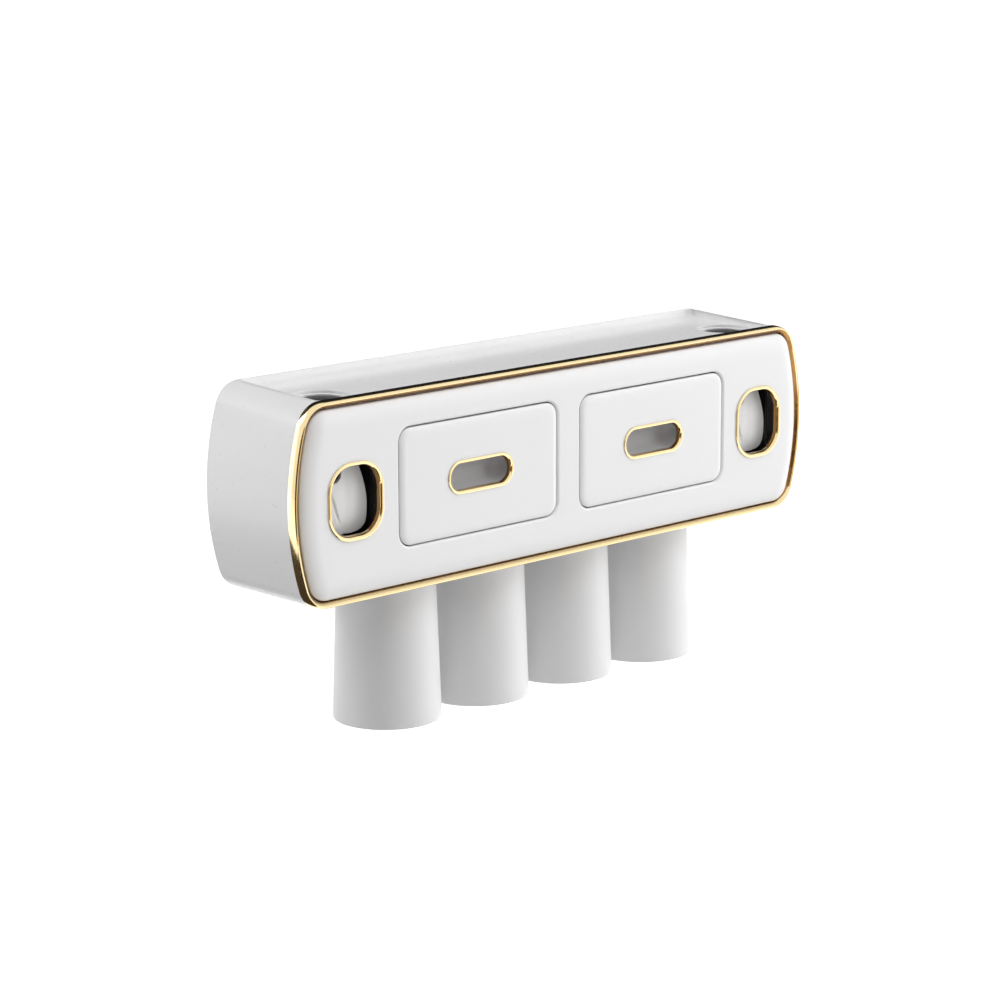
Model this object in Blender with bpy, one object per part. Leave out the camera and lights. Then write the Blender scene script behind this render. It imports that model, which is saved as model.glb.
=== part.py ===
"""Wall toothbrush holder: a tray-topped body with two drawers, two toothpaste squeezers and four cups.

Units are metres. X runs to the right along the wall, Y runs into the wall, Z is up.
The origin is on the wall, at the centre of the adhesive pad, level with the middle of the drawers.
"""
import math

import bmesh
import bpy
from mathutils import Vector
from mathutils.geometry import tessellate_polygon

# Clearances
SEAT = 0.0003
RUN = 0.0006
OVERRUN = 0.0020

# Body outline: a barrel-sided rectangle whose top rises towards the wall
BODY_HALF_WIDTH = 0.1845
BODY_TOP_FRONT = 0.0490
BODY_TOP_BACK = 0.0522
BODY_BOTTOM = 0.0535
SIDE_RADIUS = 0.1360
CORNER_RADIUS = 0.0125
BODY_DEPTH = 0.0633
BODY_WALL = 0.0024
CAVITY_CORNER = 0.0100
CORNER_STEPS = 4
SIDE_STEPS = 6

# Tray sunk in the top of the body
TRAY_END_WALL = 0.0193
TRAY_DEPTH = 0.0015
TRAY_FLOOR_THICKNESS = 0.0028
TRAY_FRONT_LIP = 0.0016
TRAY_BACK_RIM = 0.0017
TRAY_CORNER = 0.0060
TRAY_SIDE_FILLET = 0.0026
TRAY_BACK_FILLET = 0.0055
TRAY_FRONT_FILLET = 0.0012
TRAY_WALL_DRAFT = 0.0003
TRAY_WALL_SHARE = 0.35

# Wall fixing
PAD_MARGIN = 0.0040
PAD_THICKNESS = 0.0008
PAD_CORNER = 0.0040
PLATE_WIDTH = 0.1800
PLATE_HEIGHT = 0.0460
WALL_PLATE_THICKNESS = 0.0025
WALL_PLATE_CORNER = 0.0060
WALL_CLEARANCE = 0.0010
HOOK_FROM_END = 0.0300
HOOK_WIDTH = 0.0200
HOOK_NECK_HEIGHT = 0.0050
HOOK_LIP_RISE = 0.0060
HOOK_LIP_THICKNESS = 0.0023
LIFT_TRAVEL = 0.0075

# Back cover
COVER_THICKNESS = 0.0024
POCKET_CORNER = 0.0050
POCKET_WALL = 0.0020
SCREW_RADIUS = 0.0015
SCREW_LENGTH = 0.0090
SCREW_HEAD_RADIUS = 0.0030
SCREW_HEAD_HEIGHT = 0.0015
SCREW_FROM_END = 0.0235
SCREW_TOP_DROP = 0.0042
SCREW_BOTTOM_RISE = 0.0042
BOSS_RADIUS = 0.0046
BOSS_LENGTH = 0.0110

# Trim ring and front plate
RING_PROUD = 0.0005
RING_DEPTH = 0.0045
RING_WIDTH = 0.0032
RING_BEAD = 0.0014
PLATE_PROUD = 0.0019
PLATE_SINK = 0.0017
PLATE_THICKNESS = 0.0026
PLATE_ROLL = 0.0100
PLATE_ROLL_STEPS = 3

# Drawers
DRAWER_DIVIDER = 0.0172
DRAWER_TO_WINDOW = 0.0109
DRAWER_HEIGHT = 0.0600
DRAWER_CORNER = 0.0075
DRAWER_GAP = 0.0004
DRAWER_FRONT_THICKNESS = 0.0030
DRAWER_PROUD = 0.0004
DRAWER_ROLL = 0.0030
DRAWER_ROLL_DEPTH = 0.0012
DRAWER_BOX_MARGIN = 0.00465
DRAWER_BACK_SPACE = 0.0078
DRAWER_BOX_TOP = 0.0270
DRAWER_BOX_BOTTOM = 0.0175
DRAWER_BOX_WALL = 0.0018
DRAWER_BOX_CORNER = 0.0040
BAY_WALL = 0.0017
BAY_FLOOR = 0.0020
BAY_WALL_HEIGHT = 0.0260

# Finger slots
SLOT_WIDTH = 0.0448
SLOT_HEIGHT = 0.0170
SLOT_RIM = 0.0020
SLOT_RIM_DEPTH = 0.0024
SLOT_RIM_PROUD = 0.0004
SCOOP_DEPTH = 0.0095
SCOOP_WALL = 0.0014

# Squeezer windows
WINDOW_FROM_END = 0.0381
WINDOW_Z = -0.0017
WINDOW_WIDTH = 0.0352
WINDOW_HEIGHT = 0.0394
WINDOW_CORNER = 0.0122
WINDOW_RIM = 0.0018
WINDOW_RIM_DEPTH = 0.0042
WINDOW_RIM_PROUD = 0.0005

# Toothpaste ports and squeezer frames
PORT_BEHIND_FRONT = 0.0255
PORT_RADIUS = 0.0147
COLLAR_RADIUS = 0.0142
COLLAR_NECK_RADIUS = 0.0132
COLLAR_NECK_LENGTH = 0.0054
COLLAR_SINK = 0.0014
SLEEVE_RADIUS = 0.0118
SLEEVE_WALL = 0.0030
SLEEVE_SINK = 0.0006
SLEEVE_THROAT = 0.0026
SLEEVE_SPOUT = 0.0050
SLEEVE_SHOULDER = 0.0060
SQUEEZER_WIDTH = 0.0350
SQUEEZER_HEIGHT = 0.0729
SQUEEZER_BEHIND_FRONT = 0.0072
SQUEEZER_CORNER = 0.0020
SQUEEZER_WALL = 0.0020
SQUEEZER_ROOF_DROP = 0.0177

# Soft pump bulbs with their nozzles
BULB_RADIUS = 0.0095
BULB_NECK = 0.0025
BULB_SHOULDER = 0.0092
BULB_LENGTH = 0.0170
BULB_TIP = 0.0050
BULB_WALL = 0.0015
NOZZLE_SIDE = 0.0075
NOZZLE_DROP = 0.0085
NOZZLE_RADIUS = 0.0026
NOZZLE_BORE = 0.0015
NOZZLE_BEHIND_FRONT = 0.0087

# Pushers, their hinge pins and springs
HINGE_BEHIND_FRONT = 0.0124
HINGE_DROP = 0.0065
PIN_RADIUS = 0.0012
PIN_CLEARANCE = 0.0001
BARREL_RADIUS = 0.0030
PAD_TOP_DROP = 0.0035
PAD_LENGTH = 0.0368
PAD_BEHIND_FRONT = 0.0076
PAD_LEAN = 0.0014
PAD_CROWN = 0.0022
PAD_SHELL = 0.0024
PAD_HALF_WIDTH = 0.0136
PAD_NECK_SHARE = 0.60
PAD_WAIST_SHARE = 0.55
PAD_TIP_SHARE = 0.985
NOTCH_RADIUS = 0.0044
ARM_SIDE = 0.0035
ARM_WIDTH = 0.0090
ARM_LENGTH = 0.0090
PRESSER_WIDTH = 0.0080
PRESSER_HEIGHT = 0.0070
PRESSER_DROP = 0.0200
SPRING_WIRE = 0.0004
SPRING_TURNS = 4
SPRING_PITCH = 0.0013
SPRING_RADIUS = 0.0020

# Base plate, magnets and toothbrush slots
BASE_OPENING_FROM_END = 0.0365
BASE_OPENING_FRONT = 0.0038
BASE_OPENING_BACK = 0.0070
BASE_OPENING_CORNER = 0.0050
BASE_FLANGE = 0.0030
BASE_FLANGE_THICKNESS = 0.0025
MAGNET_RADIUS = 0.0110
MAGNET_THICKNESS = 0.0024
MAGNET_SKIN = 0.0012
KEYHOLE_BEHIND_FRONT = 0.0180
KEYHOLE_RADIUS = 0.0073
KEYHOLE_SLOT_WIDTH = 0.0070
KEYHOLE_SLOT_LENGTH = 0.0095
KEYHOLE_MARGIN = 0.0016

# Cups, hung mouth down
END_CUP_GAP = 0.02595
CUP_GAP = 0.0063
CUP_BEHIND_FRONT = 0.0385
CUP_LENGTH = 0.0752
CUP_TAPER = 0.0025
CUP_WALL = 0.0020
CUP_FLOOR = 0.0026
CUP_EDGE = 0.0015
DISC_RADIUS = 0.0105
DISC_THICKNESS = 0.0016

# Counts of cups, and fineness of the round shapes
CUP_COUNT = 4
CUP_STEPS = 28
PORT_STEPS = 24
HOLE_STEPS = 16
KEYHOLE_STEPS = 12
KEYHOLE_END_STEPS = 5
NOTCH_STEPS = 8
PAD_ROWS = 9
PAD_COLUMNS = 6
SPRING_STEPS = 10
WIRE_STEPS = 6

# Shapes of sections, as shares of the sizes above
TRAY_FILLET_SHARES = (0.0, 0.34, 0.67, 1.0)
RING_BEAD_SHARES = ((0.0, 0.6), (0.25, 0.2), (0.7, 0.0), (1.2, 0.25))
RING_SLOPE_SHARE = 1.3
RIM_ROUND_SHARES = ((0.15, 0.7), (0.5, 1.0), (0.85, 0.6))
DRAWER_ROLL_SHARES = ((0.0, 1.0), (0.12, 0.45), (0.45, 0.1), (1.0, 0.0))
SCOOP_SHARES = ((1.0, 0.7), (1.5, 0.93), (2.2, 1.0))
ARM_ROOT_SHARE = 0.7
SPRING_TAIL_SHARES = (0.5, 0.9, 1.0)
CUP_LIP_SHARE = 0.3

# Sizes and places worked out from the sizes above
TRAY_HALF_WIDTH = BODY_HALF_WIDTH - TRAY_END_WALL
PAD_WIDTH = PLATE_WIDTH - 2 * PAD_MARGIN
PAD_HEIGHT = PLATE_HEIGHT - 2 * PAD_MARGIN
HOOK_X = PLATE_WIDTH / 2 - HOOK_FROM_END
SCREW_X = BODY_HALF_WIDTH - SCREW_FROM_END
WINDOW_X = BODY_HALF_WIDTH - WINDOW_FROM_END
DRAWER_WIDTH = WINDOW_X - WINDOW_WIDTH / 2 - DRAWER_TO_WINDOW - DRAWER_DIVIDER / 2
DRAWER_X = (DRAWER_WIDTH + DRAWER_DIVIDER) / 2
DRAWER_BOX_WIDTH = DRAWER_WIDTH - 2 * DRAWER_BOX_MARGIN
BASE_OPENING_HALF_WIDTH = BODY_HALF_WIDTH - BASE_OPENING_FROM_END
END_KEYHOLE_X = WINDOW_X - SQUEEZER_WIDTH / 2 - KEYHOLE_RADIUS - KEYHOLE_MARGIN
CUP_SPACING = (END_KEYHOLE_X - END_CUP_GAP) * 2 / (CUP_COUNT - 1)
CUP_MOUTH_RADIUS = (CUP_SPACING - CUP_GAP) / 2
CUP_TOP_RADIUS = CUP_MOUTH_RADIUS - CUP_TAPER
BODY_BACK_Y = -WALL_CLEARANCE
BODY_FRONT_Y = BODY_BACK_Y - BODY_DEPTH
RING_BACK_Y = BODY_FRONT_Y - SEAT
RING_FRONT_Y = RING_BACK_Y - RING_DEPTH
PLATE_FRONT_Y = RING_FRONT_Y - PLATE_PROUD
PLATE_BORDER_Y = RING_FRONT_Y + PLATE_SINK
PLATE_BACK_Y = PLATE_FRONT_Y + PLATE_THICKNESS
WALL_PLATE_BACK_Y = -PAD_THICKNESS - SEAT
WALL_PLATE_FRONT_Y = WALL_PLATE_BACK_Y - WALL_PLATE_THICKNESS
COVER_BACK_Y = BODY_BACK_Y
COVER_FRONT_Y = COVER_BACK_Y - COVER_THICKNESS
POCKET_FLOOR_Y = WALL_PLATE_FRONT_Y - SEAT
POCKET_FRONT_Y = POCKET_FLOOR_Y - COVER_THICKNESS
DRAWER_FACE_Y = PLATE_FRONT_Y - DRAWER_PROUD
PORT_Y = PLATE_FRONT_Y + PORT_BEHIND_FRONT
HINGE_Y = PLATE_FRONT_Y + HINGE_BEHIND_FRONT
PAD_Y = PLATE_FRONT_Y + PAD_BEHIND_FRONT
CUP_Y = PLATE_FRONT_Y + CUP_BEHIND_FRONT
SQUEEZER_FRONT_Y = PLATE_FRONT_Y + SQUEEZER_BEHIND_FRONT
SQUEEZER_BACK_Y = PORT_Y + COLLAR_NECK_RADIUS + SEAT + SQUEEZER_WALL
TRAY_FLOOR_Z = BODY_TOP_FRONT - TRAY_DEPTH
CEILING_Z = TRAY_FLOOR_Z - TRAY_FLOOR_THICKNESS
FLOOR_Z = -BODY_BOTTOM + BODY_WALL
COLLAR_TOP_Z = TRAY_FLOOR_Z - COLLAR_SINK
SQUEEZER_TOP_Z = CEILING_Z - SEAT
SQUEEZER_BOTTOM_Z = SQUEEZER_TOP_Z - SQUEEZER_HEIGHT
ROOF_Z = CEILING_Z - SQUEEZER_ROOF_DROP
HINGE_Z = ROOF_Z - HINGE_DROP
NOZZLE_Z = HINGE_Z - NOZZLE_DROP
PRESSER_Z = HINGE_Z - PRESSER_DROP
PAD_TOP_Z = HINGE_Z - PAD_TOP_DROP
CUP_TOP_Z = -BODY_BOTTOM - SEAT
CUP_MOUTH_Z = CUP_TOP_Z - CUP_LENGTH
SIDES = ((-1, "left"), (1, "right"))


def clear_scene():
    """Start from an empty scene."""
    for item in list(bpy.data.objects):
        bpy.data.objects.remove(item, do_unlink=True)


def make_material(name, color, roughness, metallic=0.0):
    """A plain surface with one colour."""
    material = bpy.data.materials.new(name)
    material.use_nodes = True
    shader = material.node_tree.nodes["Principled BSDF"]
    shader.inputs["Base Color"].default_value = (*color, 1.0)
    shader.inputs["Roughness"].default_value = roughness
    shader.inputs["Metallic"].default_value = metallic
    return material


def white_plastic(name):
    """Glossy white plastic of the body and drawers."""
    return make_material(name, (0.86, 0.86, 0.87), 0.28)


def black_plastic(name):
    """Dull black plastic of the squeezer frames."""
    return make_material(name, (0.02, 0.02, 0.02), 0.45)


def gold_plating(name):
    """Polished pale gold plating of the trim."""
    return make_material(name, (0.90, 0.68, 0.36), 0.18, 1.0)


def dark_silicone(name):
    """Soft dark silicone of the tube seats and pump bulbs."""
    return make_material(name, (0.03, 0.03, 0.03), 0.55)


def steel(name):
    """Bright steel of pins, springs, screws and magnets."""
    return make_material(name, (0.62, 0.62, 0.64), 0.30, 1.0)


def world_place(item):
    """Where an empty or object stands, counted through its parents."""
    place = Vector()
    while item:
        place += item.location
        item = item.parent
    return place


def joint_axis(name, place, carrier=None):
    """An empty on a joint's axis, which carries the pieces that move there."""
    empty = bpy.data.objects.new(name, None)
    bpy.context.scene.collection.objects.link(empty)
    empty.location = place - world_place(carrier)
    empty.parent = carrier
    return empty


def finish(name, bm, material, carrier=None, sharp_degrees=35.0):
    """Turn a bmesh in world places into a named object with outward faces, carried by an empty."""
    bmesh.ops.recalc_face_normals(bm, faces=bm.faces)
    bmesh.ops.translate(bm, verts=bm.verts, vec=-world_place(carrier))
    mesh = bpy.data.meshes.new(name)
    bm.to_mesh(mesh)
    bm.free()
    mesh.shade_smooth()
    mesh.set_sharp_from_angle(angle=math.radians(sharp_degrees))
    mesh.materials.append(material)
    item = bpy.data.objects.new(name, mesh)
    bpy.context.scene.collection.objects.link(item)
    item.parent = carrier
    return item


def cutter(name, bm):
    """A hidden tool shape."""
    bmesh.ops.recalc_face_normals(bm, faces=bm.faces)
    mesh = bpy.data.meshes.new(name)
    bm.to_mesh(mesh)
    bm.free()
    item = bpy.data.objects.new(name, mesh)
    bpy.context.scene.collection.objects.link(item)
    item.hide_render = True
    item.display_type = "WIRE"
    return item


def combine(item, tool, operation):
    """Cut or join with a hidden tool shape."""
    modifier = item.modifiers.new(tool.name, "BOOLEAN")
    modifier.operation = operation
    modifier.solver = "EXACT"
    modifier.object = tool


def at_x(outline, x):
    """A Y-Z outline laid in the plane of one X."""
    return [Vector((x, u, v)) for u, v in outline]


def at_y(outline, y):
    """An X-Z outline laid in the plane of one Y."""
    return [Vector((u, y, v)) for u, v in outline]


def at_z(outline, z):
    """An X-Y outline laid in the plane of one Z."""
    return [Vector((u, v, z)) for u, v in outline]


def add_ring(bm, points):
    """Add one loop of corners."""
    return [bm.verts.new(point) for point in points]


def bridge(bm, first, second, skip=()):
    """Join two loops of equal length with four-sided faces, leaving out the listed ones."""
    count = len(first)
    for index in range(count):
        if index in skip:
            continue
        after = (index + 1) % count
        bm.faces.new((first[index], first[after], second[after], second[index]))


def bridge_row(bm, loops):
    """Join each loop to the next."""
    for first, second in zip(loops, loops[1:]):
        bridge(bm, first, second)


def cap(bm, loop, holes=()):
    """Fill a flat loop, leaving its holes open."""
    loops = [list(loop)] + [list(hole) for hole in holes]
    corners = [corner for one in loops for corner in one]
    for a, b, c in tessellate_polygon([[corner.co for corner in one] for one in loops]):
        bm.faces.new((corners[a], corners[b], corners[c]))


def skin(bm, rings, closed=False):
    """Join a row of loops, either capped at both ends or closed on itself."""
    loops = [add_ring(bm, ring) for ring in rings]
    bridge_row(bm, loops)
    if closed:
        bridge(bm, loops[-1], loops[0])
    else:
        cap(bm, loops[0])
        cap(bm, loops[-1])


def arc(cx, cv, radius, start, end, steps):
    """Points of an arc, with both ends."""
    angles = [math.radians(start + (end - start) * k / steps) for k in range(steps + 1)]
    return [(cx + radius * math.cos(a), cv + radius * math.sin(a)) for a in angles]


def circle(cx, cv, radius, steps=HOLE_STEPS):
    """A closed circle."""
    return arc(cx, cv, radius, 0.0, 360.0, steps)[:-1]


def rectangle(left, right, low, high):
    """A plain rectangle."""
    return [(left, low), (right, low), (right, high), (left, high)]


def rounded_rectangle(left, right, low, high, radius, steps=4):
    """A rectangle with round corners."""
    points = []
    for cx, cv, start in (
        (right - radius, high - radius, 0.0),
        (left + radius, high - radius, 90.0),
        (left + radius, low + radius, 180.0),
        (right - radius, low + radius, 270.0),
    ):
        points += arc(cx, cv, radius, start, start + 90.0, steps)
    return points


def stadium(cx, cv, width, height, steps=7):
    """A slot with half-round ends."""
    radius = height / 2
    reach = width / 2 - radius
    right = arc(cx + reach, cv, radius, -90.0, 90.0, steps)
    return right + arc(cx - reach, cv, radius, 90.0, 270.0, steps)


def barrel(inset, top, bottom, corner):
    """The body's outline: straight top and bottom, bowed sides, round corners, drawn in by inset."""
    side = SIDE_RADIUS - inset
    centre = BODY_HALF_WIDTH - inset - side
    middle = (top + bottom) / 2
    rise = top - corner - middle
    corner_x = centre + math.sqrt((side - corner) ** 2 - rise ** 2)
    tilt = math.degrees(math.atan2(rise, corner_x - centre))
    right = arc(corner_x, top - corner, corner, 90.0, tilt, CORNER_STEPS)
    right += arc(centre, middle, side, tilt, -tilt, SIDE_STEPS)[1:-1]
    right += arc(corner_x, bottom + corner, corner, -tilt, -90.0, CORNER_STEPS)
    return right + [(-u, v) for u, v in reversed(right)]


def front_outline(inset):
    """The outline at the front of the body, drawn in by inset."""
    return barrel(inset, BODY_TOP_FRONT - inset, inset - BODY_BOTTOM, CORNER_RADIUS - inset)


def inner_outline(gap):
    """The outline of the body's cavity, drawn in by a gap."""
    return barrel(BODY_WALL + gap, CEILING_Z - gap, FLOOR_Z + gap, CAVITY_CORNER - gap)


def turned(profile, cx, cy, steps):
    """Loops about an upright axis through (cx, cy), one for each (radius, height)."""
    return [at_z(circle(cx, cy, radius, steps), z) for radius, z in profile]


def rod_along_y(bm, cx, cz, radius, y_from, y_to):
    """A round rod that runs along Y."""
    outline = circle(cx, cz, radius)
    skin(bm, [at_y(outline, y_from), at_y(outline, y_to)])


def rod_on_hinge(bm, x_from, x_to, radius):
    """A round rod on the pusher's hinge line."""
    outline = circle(HINGE_Y, HINGE_Z, radius)
    skin(bm, [at_x(outline, x_from), at_x(outline, x_to)])


def screw_places():
    """The four cover screws, as (x, z)."""
    high = CEILING_Z - SCREW_TOP_DROP
    low = FLOOR_Z + SCREW_BOTTOM_RISE
    return [(-SCREW_X, high), (SCREW_X, high), (-SCREW_X, low), (SCREW_X, low)]


def cup_places():
    """The X of the four cups, from left to right."""
    return [CUP_SPACING * (k - (CUP_COUNT - 1) / 2) for k in range(CUP_COUNT)]


def keyhole_places():
    """The X of the five toothbrush slots: between the cups and outside the end ones."""
    return [-END_KEYHOLE_X, -CUP_SPACING, 0.0, CUP_SPACING, END_KEYHOLE_X]


def tray_ring(share, rim=False):
    """One loop of the tray's wall: share 0 ends the upright wall, share 1 lies on the floor."""
    front = BODY_FRONT_Y + TRAY_FRONT_LIP
    back = BODY_BACK_Y - TRAY_BACK_RIM
    spread = 1.0 - math.cos(share * math.pi / 2)
    sink = TRAY_WALL_SHARE + (1.0 - TRAY_WALL_SHARE) * math.sin(share * math.pi / 2)
    draft = 0.0 if rim else TRAY_WALL_DRAFT
    side = TRAY_HALF_WIDTH - draft - TRAY_SIDE_FILLET * spread
    outline = rounded_rectangle(
        -side,
        side,
        front + draft + TRAY_FRONT_FILLET * spread,
        back - draft - TRAY_BACK_FILLET * spread,
        TRAY_CORNER - draft,
    )
    points = []
    for x, y in outline:
        along = (y - BODY_FRONT_Y) / BODY_DEPTH
        rim_z = BODY_TOP_FRONT + (BODY_TOP_BACK - BODY_TOP_FRONT) * along
        drop = 0.0 if rim else (rim_z - TRAY_FLOOR_Z) * sink
        points.append(Vector((x, y, rim_z - drop)))
    return points


def base_opening(grow):
    """The opening in the bottom of the body, grown by a margin."""
    return rounded_rectangle(
        -BASE_OPENING_HALF_WIDTH - grow,
        BASE_OPENING_HALF_WIDTH + grow,
        BODY_FRONT_Y + BASE_OPENING_FRONT - grow,
        BODY_BACK_Y - BASE_OPENING_BACK + grow,
        BASE_OPENING_CORNER + grow,
    )


def edge_panel(bm, front, back, edge, holes):
    """The panel of a tube between one edge of its front loop and its back loop, with holes."""
    after = (edge + 1) % len(front)
    cap(bm, [front[edge], front[after], back[after], back[edge]], holes)


def build_housing(carrier):
    """The outer shell: barrel-sided tube with the tray in its top and an opening in its bottom."""
    bm = bmesh.new()
    outer_front = add_ring(bm, at_y(front_outline(0.0), BODY_FRONT_Y))
    outer_back = barrel(0.0, BODY_TOP_BACK, -BODY_BOTTOM, CORNER_RADIUS)
    outer_back = add_ring(bm, at_y(outer_back, BODY_BACK_Y))
    inner_back = add_ring(bm, at_y(inner_outline(0.0), BODY_BACK_Y))
    inner_front = add_ring(bm, at_y(inner_outline(0.0), BODY_FRONT_Y))
    top = len(outer_front) - 1
    low = len(outer_front) // 2 - 1
    bridge(bm, outer_front, outer_back, skip=(top, low))
    bridge(bm, outer_back, inner_back)
    bridge(bm, inner_back, inner_front, skip=(top, low))
    bridge(bm, inner_front, outer_front)
    tray = [add_ring(bm, tray_ring(0.0, rim=True))]
    tray += [add_ring(bm, tray_ring(share)) for share in TRAY_FILLET_SHARES]
    bridge_row(bm, tray)
    floor_holes = []
    ceiling_holes = []
    for side, _ in SIDES:
        port = circle(side * WINDOW_X, PORT_Y, PORT_RADIUS, PORT_STEPS)
        floor_holes.append(add_ring(bm, at_z(port, TRAY_FLOOR_Z)))
        ceiling_holes.append(add_ring(bm, at_z(port, CEILING_Z)))
        bridge(bm, floor_holes[-1], ceiling_holes[-1])
    cap(bm, tray[-1], floor_holes)
    edge_panel(bm, outer_front, outer_back, top, [tray[0]])
    edge_panel(bm, inner_front, inner_back, top, ceiling_holes)
    opening_low = add_ring(bm, at_z(base_opening(0.0), -BODY_BOTTOM))
    opening_high = add_ring(bm, at_z(base_opening(0.0), FLOOR_Z))
    bridge(bm, opening_low, opening_high)
    edge_panel(bm, outer_front, outer_back, low, [opening_low])
    edge_panel(bm, inner_front, inner_back, low, [opening_high])
    housing = finish("housing", bm, white_plastic("housing"), carrier)
    bosses = bmesh.new()
    holes = bmesh.new()
    boss_back = COVER_FRONT_Y - SEAT
    hole_end = COVER_FRONT_Y - SCREW_LENGTH
    for x, z in screw_places():
        rod_along_y(bosses, x, z, BOSS_RADIUS, boss_back, boss_back - BOSS_LENGTH)
        rod_along_y(holes, x, z, SCREW_RADIUS + SEAT, boss_back + OVERRUN, hole_end)
    combine(housing, cutter("boss_tool", bosses), "UNION")
    combine(housing, cutter("boss_hole_tool", holes), "DIFFERENCE")


def keyhole(cx, cy):
    """A round entry with a narrow slot that runs back from it."""
    half = KEYHOLE_SLOT_WIDTH / 2
    turn = math.degrees(math.asin(half / KEYHOLE_RADIUS))
    entry = arc(cx, cy, KEYHOLE_RADIUS, 90.0 + turn, 450.0 - turn, KEYHOLE_STEPS)
    return entry + arc(cx, cy + KEYHOLE_SLOT_LENGTH, half, 0.0, 180.0, KEYHOLE_END_STEPS)


def build_base_plate(carrier):
    """The bottom panel: flush in the body's opening, flanged inside, with magnet seats and brush slots."""
    bm = bmesh.new()
    bottom = -BODY_BOTTOM
    flange_z = FLOOR_Z + SEAT
    top = flange_z + BASE_FLANGE_THICKNESS
    small_low = add_ring(bm, at_z(base_opening(-SEAT), bottom))
    small_high = add_ring(bm, at_z(base_opening(-SEAT), flange_z))
    large_low = add_ring(bm, at_z(base_opening(BASE_FLANGE), flange_z))
    large_high = add_ring(bm, at_z(base_opening(BASE_FLANGE), top))
    bridge(bm, small_low, small_high)
    cap(bm, large_low, [small_high])
    bridge(bm, large_low, large_high)
    low_holes = []
    high_holes = []
    for x in keyhole_places():
        outline = keyhole(x, PLATE_FRONT_Y + KEYHOLE_BEHIND_FRONT)
        low_holes.append(add_ring(bm, at_z(outline, bottom)))
        high_holes.append(add_ring(bm, at_z(outline, top)))
        bridge(bm, low_holes[-1], high_holes[-1])
    for x in cup_places():
        outline = circle(x, CUP_Y, MAGNET_RADIUS + SEAT)
        floor = add_ring(bm, at_z(outline, bottom + MAGNET_SKIN))
        high_holes.append(add_ring(bm, at_z(outline, top)))
        bridge(bm, high_holes[-1], floor)
        cap(bm, floor)
    cap(bm, small_low, low_holes)
    cap(bm, large_high, high_holes)
    finish("base_plate", bm, white_plastic("base_plate"), carrier)


def build_magnets(carrier):
    """Round magnets in the base plate's seats."""
    low = -BODY_BOTTOM + MAGNET_SKIN + SEAT
    for number, x in enumerate(cup_places(), start=1):
        bm = bmesh.new()
        profile = [(MAGNET_RADIUS, low), (MAGNET_RADIUS, low + MAGNET_THICKNESS)]
        skin(bm, turned(profile, x, CUP_Y, HOLE_STEPS))
        name = "base_magnet_%d" % number
        finish(name, bm, steel(name), carrier)


def hook_slots():
    """The two slots in the back cover, tall enough for the hooks to pass when the holder is lifted."""
    half = HOOK_WIDTH / 2 + RUN
    high = HOOK_NECK_HEIGHT / 2 + SEAT
    low = -HOOK_NECK_HEIGHT / 2 - LIFT_TRAVEL - RUN
    return [rectangle(side * HOOK_X - half, side * HOOK_X + half, low, high) for side, _ in SIDES]


def build_back_cover(carrier):
    """The panel that closes the back, dished inwards for the wall plate and slotted for its hooks."""
    bm = bmesh.new()
    side = PLATE_WIDTH / 2 + RUN
    high = PLATE_HEIGHT / 2 + RUN
    low = -PLATE_HEIGHT / 2 - LIFT_TRAVEL - RUN
    pocket = rounded_rectangle(-side, side, low, high, POCKET_CORNER)
    shell = rounded_rectangle(
        -side - POCKET_WALL,
        side + POCKET_WALL,
        low - POCKET_WALL,
        high + POCKET_WALL,
        POCKET_CORNER + POCKET_WALL,
    )
    outline_back = add_ring(bm, at_y(inner_outline(SEAT), COVER_BACK_Y))
    outline_front = add_ring(bm, at_y(inner_outline(SEAT), COVER_FRONT_Y))
    pocket_mouth = add_ring(bm, at_y(pocket, COVER_BACK_Y))
    pocket_floor = add_ring(bm, at_y(pocket, POCKET_FLOOR_Y))
    shell_front = add_ring(bm, at_y(shell, POCKET_FRONT_Y))
    shell_root = add_ring(bm, at_y(shell, COVER_FRONT_Y))
    bridge(bm, outline_back, outline_front)
    bridge(bm, pocket_mouth, pocket_floor)
    bridge(bm, shell_front, shell_root)
    floor_holes = []
    front_holes = []
    for slot in hook_slots():
        floor_holes.append(add_ring(bm, at_y(slot, POCKET_FLOOR_Y)))
        front_holes.append(add_ring(bm, at_y(slot, POCKET_FRONT_Y)))
        bridge(bm, floor_holes[-1], front_holes[-1])
    cap(bm, pocket_floor, floor_holes)
    cap(bm, shell_front, front_holes)
    back_holes = [pocket_mouth]
    cover_holes = [shell_root]
    for x, z in screw_places():
        bore = circle(x, z, SCREW_RADIUS + SEAT)
        throat = add_ring(bm, at_y(bore, COVER_BACK_Y - SCREW_HEAD_HEIGHT))
        mouth = circle(x, z, SCREW_HEAD_RADIUS + SEAT)
        back_holes.append(add_ring(bm, at_y(mouth, COVER_BACK_Y)))
        cover_holes.append(add_ring(bm, at_y(bore, COVER_FRONT_Y)))
        bridge(bm, back_holes[-1], throat)
        bridge(bm, throat, cover_holes[-1])
    cap(bm, outline_back, back_holes)
    cap(bm, outline_front, cover_holes)
    finish("back_cover", bm, white_plastic("back_cover"), carrier)


def build_cover_screws(carrier):
    """Four countersunk screws that hold the back cover, flush with its back."""
    tip_y = COVER_FRONT_Y - SCREW_LENGTH + SCREW_RADIUS
    profile = (
        (SCREW_RADIUS / 2, tip_y - SCREW_RADIUS / 2),
        (SCREW_RADIUS, tip_y),
        (SCREW_RADIUS, COVER_BACK_Y - SCREW_HEAD_HEIGHT),
        (SCREW_HEAD_RADIUS, COVER_BACK_Y),
    )
    for number, (x, z) in enumerate(screw_places(), start=1):
        bm = bmesh.new()
        skin(bm, [at_y(circle(x, z, radius), y) for radius, y in profile])
        name = "cover_screw_%d" % number
        finish(name, bm, steel(name), carrier)


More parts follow.
